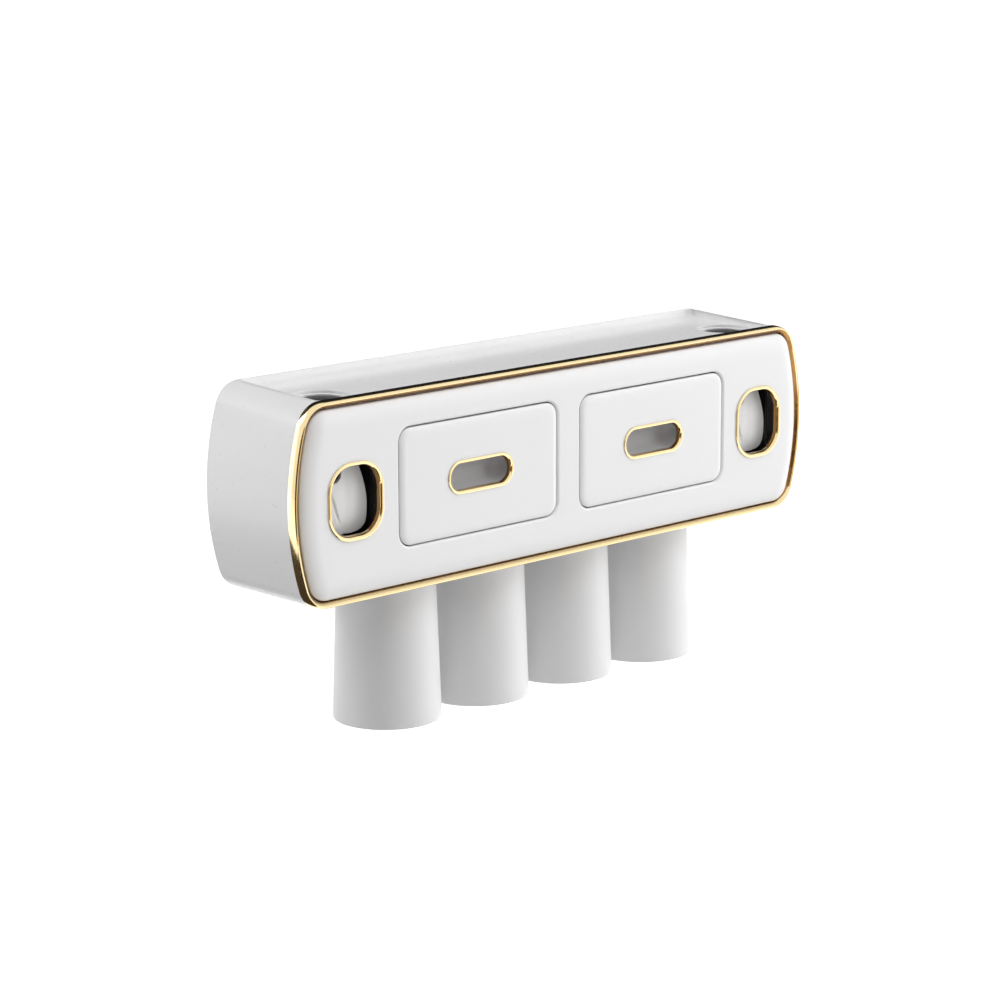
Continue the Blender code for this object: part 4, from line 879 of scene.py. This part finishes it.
padShape = {
    "hingeY": -0.0586,
    "hingeZ": 0.0205,
    "y": -0.0634,
    "top": 0.0170,
    "length": 0.0368,
    "lean": 0.0014,
    "crown": 0.0006,
    "shell": 0.0024,
    "halfWidth": 0.0146,
    "neckShare": 0.60,  # width of the top, as a share of the full width
    "waistShare": 0.68,  # where the pad is widest, from its top (0) to its bottom (1)
    "centre": (0.0010, -0.0020),  # where the beams start
    "notchX": -0.0072,
    "notchZ": 0.0120,
    "notchRadius": 0.0052,
    "groove": 0.0010,
    "grooveWidth": 0.00060,
    "grooveX": 0.0088,
    "grooveSlope": 0.36,
    "grooveLow": -0.0150,
    "grooveLowFade": 0.006,
    "grooveHigh": 0.0030,
    "grooveHighFade": 0.004,
    "valley": 0.0003,
    "valleyX": 0.0005,
    "valleyWidth": 0.0030,
    "crownUntilShare": 0.97,  # nearer the bottom than this, the crown keeps its width
    "leastHalf": 0.002,
    "leastReach": 0.0005,
    "edgeRound": 0.0006,
    "edgeSteps": 6,
    "sideSteps": 240,
    "topSteps": 39,
    "around": 300,
    "outwards": 55,
}
armShape = {
    "x": 0.0035,
    "halfWidth": 0.0045,
    "section": ((-0.0610, 0.0080), (-0.0572, 0.0080), (-0.0565, 0.0205), (-0.0607, 0.0205)),
    "bore": 0.0013,
    "hubRadius": 0.0030,
    "hubSteps": 36,
    "pressHalfWidth": 0.0040,
    "pressFront": -0.0622,
    "pressBack": -0.0553,
    "pressLow": -0.0030,
    "pressHigh": 0.0040,
    "pressCorner": 0.0008,
    "pressSteps": 4,
}


# Half the pad's width from its top (0) to its bottom (1): a neck that swells by a sine up to the waist and
# then rounds off as (1 - k^4) to the power of a quarter.
def padHalf(share):
    s = padShape
    swell = np.sin(math.pi / 2 * np.minimum(share / s["waistShare"], 1.0))
    fall = np.clip((share - s["waistShare"]) / (1.0 - s["waistShare"]), 0.0, 1.0)
    return s["halfWidth"] * (s["neckShare"] + (1.0 - s["neckShare"]) * swell) * (1.0 - fall ** 4) ** 0.25


# Beams from the pad's centre and how far each reaches: out to the outline, less a round notch for the nozzle
# and all that lies beyond a straight wall above the notch.
def padReach():
    s = padShape
    centre = np.array(s["centre"])
    share = np.linspace(0.0, 1.0, s["sideSteps"] + 1)
    half = padHalf(share)
    level = s["top"] - s["length"] * share
    across = np.linspace(-half[0], half[0], s["topSteps"] + 1)[1:-1]
    outline = np.concatenate([
        np.stack([half, level], 1),
        np.stack([-half, level], 1)[::-1],
        np.stack([across, np.full(len(across), s["top"])], 1),
    ])
    away = outline - centre
    angle = np.arctan2(away[:, 1], away[:, 0])
    order = np.argsort(angle)
    turn = np.linspace(-math.pi, math.pi, s["around"], endpoint=False)
    reach = np.interp(turn, angle[order], np.hypot(*away.T)[order], period=2 * math.pi)
    beam = np.stack([np.cos(turn), np.sin(turn)], 1)
    toNotch = np.array([s["notchX"], s["notchZ"]]) - centre
    along = beam @ toNotch
    miss = np.maximum(toNotch @ toNotch - along ** 2, 0.0)
    bite = along - np.sqrt(np.maximum(s["notchRadius"] ** 2 - miss, 0.0))
    reach = np.where((miss < s["notchRadius"] ** 2) & (along > 0), np.minimum(reach, bite), reach)
    with np.errstate(divide="ignore", invalid="ignore"):
        wall = (s["notchX"] + s["notchRadius"] - centre[0]) / beam[:, 0]
    atWall = (beam[:, 0] < 0) & (centre[1] + wall * beam[:, 1] > s["notchZ"])
    return beam, np.where(atWall, np.minimum(reach, wall), reach)


# Depth of the pad's face at a place: it leans back by the square of the distance from mid-height, is crowned
# by the square of the distance from the middle, and has a slanting groove that fades at both ends and a
# broad shallow valley, each a bell curve.
def padDepth(px, pz):
    s = padShape
    share = np.clip((s["top"] - pz) / s["length"], 0.0, 1.0)
    across = px / np.maximum(padHalf(np.minimum(share, s["crownUntilShare"])), s["leastHalf"])
    lean = s["lean"] * (1.0 - 2.0 * share) ** 2
    crown = s["crown"] * across ** 2 * padHalf(share) / s["halfWidth"]
    groove = s["groove"] * np.exp(-((px + s["grooveX"] + s["grooveSlope"] * pz) / s["grooveWidth"]) ** 2)
    groove *= np.clip((pz - s["grooveLow"]) / s["grooveLowFade"], 0.0, 1.0)
    groove *= np.clip((s["grooveHigh"] - pz) / s["grooveHighFade"], 0.0, 1.0)
    valley = s["valley"] * np.exp(-((px - s["valleyX"]) / s["valleyWidth"]) ** 2)
    return s["y"] + lean + crown + groove + valley


# The arm behind a pad: a straight block up to a hub about the hinge, and the block that presses the bulb.
def addArm(parts, x):
    a = armShape
    left, right = x + a["x"] - a["halfWidth"], x + a["x"] + a["halfWidth"]
    section = np.array(a["section"])
    addBlock(parts, [alongX(section, left), alongX(section, right)])
    hub = [alongX(circleLoop(padShape["hingeY"], padShape["hingeZ"], radius, a["hubSteps"]), px)
           for radius, px in ((a["bore"], left), (a["hubRadius"], left),
                              (a["hubRadius"], right), (a["bore"], right))]
    addRings(parts, hub, closeRows=True)
    press = roundedBox(x - a["pressHalfWidth"], x + a["pressHalfWidth"], a["pressFront"], a["pressBack"],
                       a["pressCorner"], a["pressSteps"])
    addBlock(parts, [alongZ(press, a["pressLow"]), alongZ(press, a["pressHigh"])])


# The pad: rings at growing shares of the reach, an edge rounded on a quarter circle, and a back that
# follows the face one shell behind it.
def makePad(side, word):
    s = padShape
    x = side * windowShape["x"]
    centre = np.array(s["centre"])
    beam, reach = padReach()
    inner = np.maximum(reach - s["edgeRound"], s["leastReach"])
    shares = np.linspace(0.0, 1.0, s["outwards"] + 1)[1:]

    # one ring at a distance along the beams, set some way behind the face
    def padRing(distance, behind):
        p = centre + beam * distance[:, None]
        return np.column_stack([x + p[:, 0], padDepth(p[:, 0], p[:, 1]) + behind, p[:, 1]])

    rings = [padRing(inner * share, 0.0) for share in shares]
    rings += [padRing(inner + s["edgeRound"] * math.sin(a), s["edgeRound"] * (1.0 - math.cos(a)))
              for a in np.linspace(0.0, math.pi / 2, s["edgeSteps"] + 1)[1:]]
    rings += [padRing(reach * share, s["shell"]) for share in shares[::-1]]
    parts = []
    addRings(parts, rings)
    pole = np.repeat([[x + centre[0], padDepth(*centre), centre[1]]], s["around"], 0)
    addRings(parts, [pole, rings[0]])
    addRings(parts, [rings[-1], pole + (0.0, s["shell"], 0.0)])
    addArm(parts, x)
    return makePiece("squeezePad_" + word, parts, whitePlastic, "pusher_arm_" + word, ("pusher_" + word,))


for side, word in sides:
    makeCollar(side, word)
    makeSleeve(side, word)
    makeBulb(side, word)
    makePad(side, word)
print("squeezers made")


# Cups

cupShape = {
    "spacing": 0.0627,
    "middle": 2.5,  # the row's middle, counted in cups
    "y": -0.0325,
    "top": -0.0538,
    "mouth": -0.1290,
    "mouthRadius": 0.0282,
    "topRadius": 0.0257,
    "wall": 0.0020,
    "discRadius": 0.0108,
    "discDeep": 0.0019,
    "floor": 0.0026,
    "edgeRound": 0.0015,
    "insideRound": 0.0040,
    "roundSteps": 6,
    "lipSteps": 12,
    "steps": 128,
}


# A cup: a turned profile whose radius changes evenly from top to mouth, with edges of quarter and half
# circles and a pocket for its disc.
def makeCup(number):
    c = cupShape
    x = c["spacing"] * (number - c["middle"])
    taper = (c["mouthRadius"] - c["topRadius"]) / (c["top"] - c["mouth"])
    pocket = c["top"] - c["discDeep"]
    inside = pocket - c["floor"]
    edge, bend, lip = c["edgeRound"], c["insideRound"], c["wall"] / 2
    insideTop = c["topRadius"] - c["wall"] + taper * (c["top"] - inside)
    profile = np.concatenate([
        [(0.0, pocket), (c["discRadius"], pocket), (c["discRadius"], c["top"])],
        arcLoop(c["topRadius"] - edge, c["top"] - edge, edge, 90.0, 0.0, c["roundSteps"]),
        arcLoop(c["mouthRadius"] - lip, c["mouth"] + lip, lip, 0.0, -180.0, c["lipSteps"]),
        arcLoop(insideTop - bend, inside - bend, bend, 0.0, 90.0, c["roundSteps"]),
        [(0.0, inside)],
    ])
    parts = []
    addRings(parts, turnedRings(profile, x, c["y"], c["steps"]))
    return makePiece("cupShell_%d" % number, parts, cupPlastic, "tumbler_%d" % number, ("cup_%d" % number,))


for number in range(1, 5):
    makeCup(number)
print("cups made")


# Foam pad, return springs and cover screws

foamShape = {"halfWidth": 0.0860, "halfHeight": 0.0190, "corner": 0.0040, "cornerSteps": 12,
             "thickness": 0.0008, "edgeRound": 0.0003, "edgeSteps": 6}
springShape = {"windowX": 0.1469, "fromWindow": 0.0087, "wire": 0.0004, "turns": 4, "pitch": 0.0013,
               "radius": 0.0020, "tail": 0.0062, "turnSteps": 40, "tailSteps": 6, "wireSteps": 14}
screwShape = {"radius": 0.0015, "headRadius": 0.0030, "headHeight": 0.0015, "thread": 0.00022, "threads": 7,
              "threadSteps": 6, "crossHalf": 0.0017, "crossArm": 0.00038, "crossDepth": 0.0009,
              "crossFloorShare": 0.72, "edge": 0.00012, "steps": 44}


# The foam pad: a thin block with round corners, its outer edge rounded on a quarter circle.
def makeFoam():
    f = foamShape
    edge = quarter(f["edgeRound"], f["edgeRound"], f["edgeSteps"])

    def foamLoop(inset, y):
        return alongY(roundedBox(inset - f["halfWidth"], f["halfWidth"] - inset, inset - f["halfHeight"],
                                 f["halfHeight"] - inset, f["corner"] - inset, f["cornerSteps"]), y)

    parts = []
    addBlock(parts, [foamLoop(0.0, -f["thickness"])] + [foamLoop(inset, -deep) for inset, deep in edge])
    return makePiece("adhesiveFoam", parts, foamPad, "wall_fixing", ("adhesive_pad",))


# A return spring: a wire wound about the hinge, p = (pitch * n, R cos 2 pi n, R sin 2 pi n), then a straight
# tail upwards.
def makeSpring(side, word):
    s = springShape
    n = np.linspace(0.0, s["turns"], s["turns"] * s["turnSteps"] + 1)
    turn = 2.0 * math.pi * n
    path = np.column_stack([side * s["windowX"] + s["fromWindow"] + s["pitch"] * n,
                            padShape["hingeY"] + s["radius"] * np.cos(turn),
                            padShape["hingeZ"] + s["radius"] * np.sin(turn)])
    rise = np.linspace(0.0, s["tail"], s["tailSteps"] + 1)[1:, None]
    path = np.concatenate([path, path[-1] + rise * (0.0, 0.0, 1.0)])
    ahead = np.gradient(path, axis=0)
    ahead /= np.linalg.norm(ahead, axis=1)[:, None]
    across = (1.0, 0.0, 0.0) - ahead * ahead[:, :1]
    across /= np.linalg.norm(across, axis=1)[:, None]
    up = np.cross(ahead, across)
    around = np.linspace(0.0, 2.0 * math.pi, s["wireSteps"], endpoint=False)[None, :, None]
    rings = path[:, None] + s["wire"] * (np.cos(around) * across[:, None] + np.sin(around) * up[:, None])
    parts = []
    addBlock(parts, rings)
    return makePiece("returnSpring_" + word, parts, brightSteel, "holder", ("return_spring_" + word,))


# A cover screw: a shank whose radius dips by a cosine, once a thread, under a countersunk head; the recess in
# the head is two crossed bars and narrows downwards.
def makeScrew(number):
    s = screwShape
    name = "cover_screw_" + str(number)
    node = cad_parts[name]
    corners = np.array([node.matrix_world @ Vector(corner) for corner in node.bound_box])
    low, high = corners.min(0), corners.max(0)
    x, z = (low[0] + high[0]) / 2, (low[2] + high[2]) / 2
    headLow = high[1] - s["headHeight"]
    share = np.linspace(0.0, 1.0, s["threads"] * s["threadSteps"] + 1)
    shankY = low[1] + s["radius"] + (headLow - low[1] - s["radius"]) * share
    shankR = s["radius"] - s["thread"] * (0.5 - 0.5 * np.cos(2 * math.pi * s["threads"] * share))
    profile = [(s["radius"] / 2, low[1])] + list(zip(shankR, shankY))
    profile += [(s["headRadius"], high[1] - s["edge"]), (s["headRadius"] - s["edge"], high[1])]
    rings = [alongY(circleLoop(x, z, r, s["steps"]), y) for r, y in profile]
    a, b = s["crossArm"], s["crossHalf"]
    cross = np.array([(a, -b), (a, -a), (b, -a), (b, a), (a, a), (a, b),
                      (-a, b), (-a, a), (-b, a), (-b, -a), (-a, -a), (-a, -b)])
    mouth = alongY(cross + (x, z), high[1])
    floor = alongY(cross * s["crossFloorShare"] + (x, z), high[1] - s["crossDepth"])
    parts = []
    addRings(parts, rings)
    addCap(parts, rings[0])
    addCap(parts, rings[-1], [mouth])
    addRings(parts, [mouth, floor])
    addCap(parts, floor)
    return makePiece("coverScrew_" + str(number), parts, brightSteel, "holder", (name,))


makeFoam()
for side, word in sides:
    makeSpring(side, word)
for number in range(1, 5):
    makeScrew(number)
print("foam, springs and screws made")


# Finishes of the CAD pieces that stay

stayFinish = {
    "squeezer_body_": blackPlastic,
    "drawer_box_": innerPlastic,
    "drawer_bay_": innerPlastic,
    "base_plate": whitePlastic,
    "back_cover": innerPlastic,
    "wall_plate": innerPlastic,
    "base_magnet_": brightSteel,
    "cup_disc_": brightSteel,
    "hinge_pin_": brightSteel,
}
for nodeName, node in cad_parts.items():
    for start, material in stayFinish.items():
        if nodeName.startswith(start):
            node.data.materials.clear()
            node.data.materials.append(material)
print("kept pieces finished")


# Camera, lights and floor

cameraLook = {
    "place": (-1.13360, -1.20571, 0.32315),
    "yaw": 43.697,
    "pitch": 12.204,
    "roll": -0.2066,
    "focalPixels": 3147.02,
    "imageSize": 1001,
    "sensorWidth": 36.0,
}
studioLook = {
    "aim": (0.0, -0.03, -0.02),
    "floorZ": -0.42,
    "floorHalf": 3.0,
    "floorTint": (0.80, 0.80, 0.80),
    "floorSecondTint": (0.82, 0.82, 0.82),
    "floorScale": 3.0,
    "floorRoughness": 0.8,
    "floorGlow": (0.60, 1.00),  # at floorNear and at floorFar from the middle
    "floorNear": 0.7,
    "floorFar": 1.7,
    "upStrength": 0.22,  # of the soft light from above, where the direction's z is over upFrom
    "upFrom": 0.8,
    "downStrength": 0.06,
    "downUntil": -0.6,
    "stagePoints": 5,
    "cardScale": 5.0,
    "cardRoughness": 0.9,
    "cardSpecular": 0.1,
    "cardTintFactor": 1.1,
    "lamps": {
        "keyRight": {"place": (1.988, -1.043, 0.536), "size": 2.4, "power": 46.0, "shines": False},
        "highFront": {"place": (0.0, -0.88, 1.45), "size": 1.4, "power": 13.5, "shines": False},
        "lowFront": {"place": (-0.35, -1.70, 0.20), "size": 1.2, "power": 1.8, "shines": False},
        "highLeft": {"place": (-0.85, 0.98, 0.90), "size": 1.2, "power": 14.5, "shines": True},
        "edgeLeft": {"place": (-1.14, 1.00, 0.09), "size": 1.0, "power": 2.6, "shines": True},
    },
    "cards": {
        "backCard": {"corner": (-0.72, 0.62, 0.13), "across": (2.90, 0.0, 0.0), "up": (0.0, 0.05, 1.10),
                     "tint": (0.006, 0.006, 0.006), "glow": (0.0, 0.0, 0.0)},
        "lowCard": {"corner": (-0.90, -0.40, -0.40), "across": (0.80, 0.0, 0.0), "up": (0.0, 1.35, 0.0),
                    "tint": (0.045, 0.036, 0.027), "glow": (0.0, 0.0, 0.0)},
        "frontCard": {"corner": (-0.60, -1.00, -0.38), "across": (0.95, 0.0, 0.0), "up": (0.0, 0.0, 0.55),
                      "tint": (0.10, 0.08, 0.06), "glow": (0.82, 0.68, 0.47)},
        "flagCard": {"corner": (-1.16, -0.22, -0.40), "across": (0.53, -0.88, 0.0), "up": (0.0, 0.0, 0.70),
                     "tint": (0.05, 0.03, 0.015), "glow": (0.02, 0.011, 0.004)},
        "paleCard": {"corner": (0.55, -1.50, -0.40), "across": (1.00, 0.90, 0.0), "up": (0.0, 0.0, 1.70),
                     "tint": (0.10, 0.10, 0.10), "glow": (1.12, 1.12, 1.12)},
    },
}


# The camera: its axes ahead, right and up come from yaw and pitch, then right and up are turned by the roll;
# its lens is the focal length in pixels times the sensor's width over the picture's.
def makeCamera():
    c = cameraLook
    yaw, pitch, roll = (math.radians(c[k]) for k in ("yaw", "pitch", "roll"))
    ahead = Vector((math.sin(yaw) * math.cos(pitch), math.cos(yaw) * math.cos(pitch), -math.sin(pitch)))
    right = Vector((math.cos(yaw), -math.sin(yaw), 0.0))
    up = right.cross(ahead)
    turnedRight = math.cos(roll) * right + math.sin(roll) * up
    turnedUp = -math.sin(roll) * right + math.cos(roll) * up
    data = bpy.data.cameras.new("viewCamera")
    data.sensor_width = c["sensorWidth"]
    data.lens = c["focalPixels"] * data.sensor_width / c["imageSize"]
    item = bpy.data.objects.new("viewCamera", data)
    axes = Matrix((turnedRight, turnedUp, -ahead)).transposed()
    item.matrix_world = Matrix.Translation(c["place"]) @ axes.to_4x4()
    bpy.context.scene.collection.objects.link(item)
    bpy.context.scene.camera = item


# Round area lamps, each turned so that it looks from its place at the aim; one that shines shows in the gold.
def makeLamps():
    for name, lamp in studioLook["lamps"].items():
        data = bpy.data.lights.new(name, "AREA")
        data.shape = "DISK"
        data.size = lamp["size"]
        data.energy = lamp["power"]
        item = bpy.data.objects.new(name, data)
        item.location = lamp["place"]
        item.rotation_mode = "QUATERNION"
        ahead = Vector(studioLook["aim"]) - Vector(lamp["place"])
        item.rotation_quaternion = ahead.to_track_quat("-Z", "Y")
        item.visible_camera = False
        item.visible_glossy = lamp["shines"]
        bpy.context.scene.collection.objects.link(item)


# One where a ray comes from the camera, a mirror or glass, and zero where it only carries soft light.
def addSeen(tree):
    path = tree.nodes.new("ShaderNodeLightPath")
    total = path.outputs["Is Camera Ray"]
    for word in ("Is Glossy Ray", "Is Transmission Ray"):
        join = tree.nodes.new("ShaderNodeMath")
        join.operation = "MAXIMUM"
        tree.links.new(total, join.inputs[0])
        tree.links.new(path.outputs[word], join.inputs[1])
        total = join.outputs["Value"]
    return total


# The world: soft light by direction, dimmer from below, and plain white where it is seen.
def makeWorld():
    world = bpy.data.worlds.new("softStudio")
    bpy.context.scene.world = world
    world.use_nodes = True
    tree = world.node_tree
    soft = tree.nodes["Background"]
    place = tree.nodes.new("ShaderNodeTexCoord")
    split = tree.nodes.new("ShaderNodeSeparateXYZ")
    tree.links.new(place.outputs["Generated"], split.inputs["Vector"])
    level = addRange(tree, split.outputs["Z"], studioLook["downStrength"], studioLook["upStrength"],
                     studioLook["downUntil"], studioLook["upFrom"])
    tree.links.new(level, soft.inputs["Strength"])
    soft.inputs["Color"].default_value = (1.0, 1.0, 1.0, 1.0)
    white = tree.nodes.new("ShaderNodeBackground")
    white.inputs["Color"].default_value = (1.0, 1.0, 1.0, 1.0)
    choose = tree.nodes.new("ShaderNodeMixShader")
    tree.links.new(addSeen(tree), choose.inputs["Fac"])
    tree.links.new(soft.outputs["Background"], choose.inputs[1])
    tree.links.new(white.outputs["Background"], choose.inputs[2])
    tree.links.new(choose.outputs["Shader"], tree.nodes["World Output"].inputs["Surface"])


# A flat stage piece: its corner plus shares of two edges.
def makeStage(name, corner, across, up, material):
    share = np.linspace(0.0, 1.0, studioLook["stagePoints"])
    s, t = np.meshgrid(share, share)
    grid = np.array(corner) + s[..., None] * np.array(across) + t[..., None] * np.array(up)
    parts = []
    addSheet(parts, grid)
    mesh = bpy.data.meshes.new(name)
    mesh.from_pydata(parts[0][0].tolist(), [], parts[0][1])
    mesh.materials.append(material)
    item = bpy.data.objects.new(name, mesh)
    bpy.context.scene.collection.objects.link(item)
    return item


# The floor: a wide pale sheet that glows where it is seen, more with distance, so that it is white
# and keeps a soft shadow near the object; from underneath it is clear.
def makeFloor():
    material, tree, shader, place = startFinish("studioFloor")
    noise = addNoise(tree, place, studioLook["floorScale"])
    tint = addTint(tree, noise, studioLook["floorTint"], studioLook["floorSecondTint"])
    tree.links.new(tint, shader.inputs["Base Color"])
    shader.inputs["Roughness"].default_value = studioLook["floorRoughness"]
    glow = tree.nodes.new("ShaderNodeEmission")
    length = tree.nodes.new("ShaderNodeVectorMath")
    length.operation = "LENGTH"
    tree.links.new(place, length.inputs[0])
    level = addRange(tree, length.outputs["Value"], *studioLook["floorGlow"], studioLook["floorNear"],
                     studioLook["floorFar"])
    shown = tree.nodes.new("ShaderNodeMath")
    shown.operation = "MULTIPLY"
    tree.links.new(level, shown.inputs[0])
    tree.links.new(addSeen(tree), shown.inputs[1])
    tree.links.new(shown.outputs["Value"], glow.inputs["Strength"])
    both = tree.nodes.new("ShaderNodeAddShader")
    tree.links.new(shader.outputs["BSDF"], both.inputs[0])
    tree.links.new(glow.outputs["Emission"], both.inputs[1])
    side = tree.nodes.new("ShaderNodeNewGeometry")
    clear = tree.nodes.new("ShaderNodeBsdfTransparent")
    choose = tree.nodes.new("ShaderNodeMixShader")
    tree.links.new(side.outputs["Backfacing"], choose.inputs["Fac"])
    tree.links.new(both.outputs["Shader"], choose.inputs[1])
    tree.links.new(clear.outputs["BSDF"], choose.inputs[2])
    tree.links.new(choose.outputs["Shader"], tree.nodes["Material Output"].inputs["Surface"])
    half = studioLook["floorHalf"]
    makeStage("studioFloor", (-half, -half, studioLook["floorZ"]), (2 * half, 0.0, 0.0), (0.0, 2 * half, 0.0),
              material)


# Dark and pale cards beside the object, as a studio sets them: seen in the gold and the gloss only.
def makeCards():
    for name, card in studioLook["cards"].items():
        material, tree, shader, place = startFinish(name)
        secondTint = [studioLook["cardTintFactor"] * c for c in card["tint"]]
        tint = addTint(tree, addNoise(tree, place, studioLook["cardScale"]), card["tint"], secondTint)
        tree.links.new(tint, shader.inputs["Base Color"])
        shader.inputs["Roughness"].default_value = studioLook["cardRoughness"]
        shader.inputs["Specular IOR Level"].default_value = studioLook["cardSpecular"]
        shader.inputs["Emission Color"].default_value = (*card["glow"], 1.0)
        shader.inputs["Emission Strength"].default_value = 1.0
        item = makeStage(name, card["corner"], card["across"], card["up"], material)
        item.visible_camera = False
        item.visible_diffuse = False
        item.visible_shadow = False


makeCamera()
makeLamps()
makeWorld()
makeFloor()
makeCards()
bpy.context.scene.view_settings.view_transform = "Standard"
print("camera and lights made")
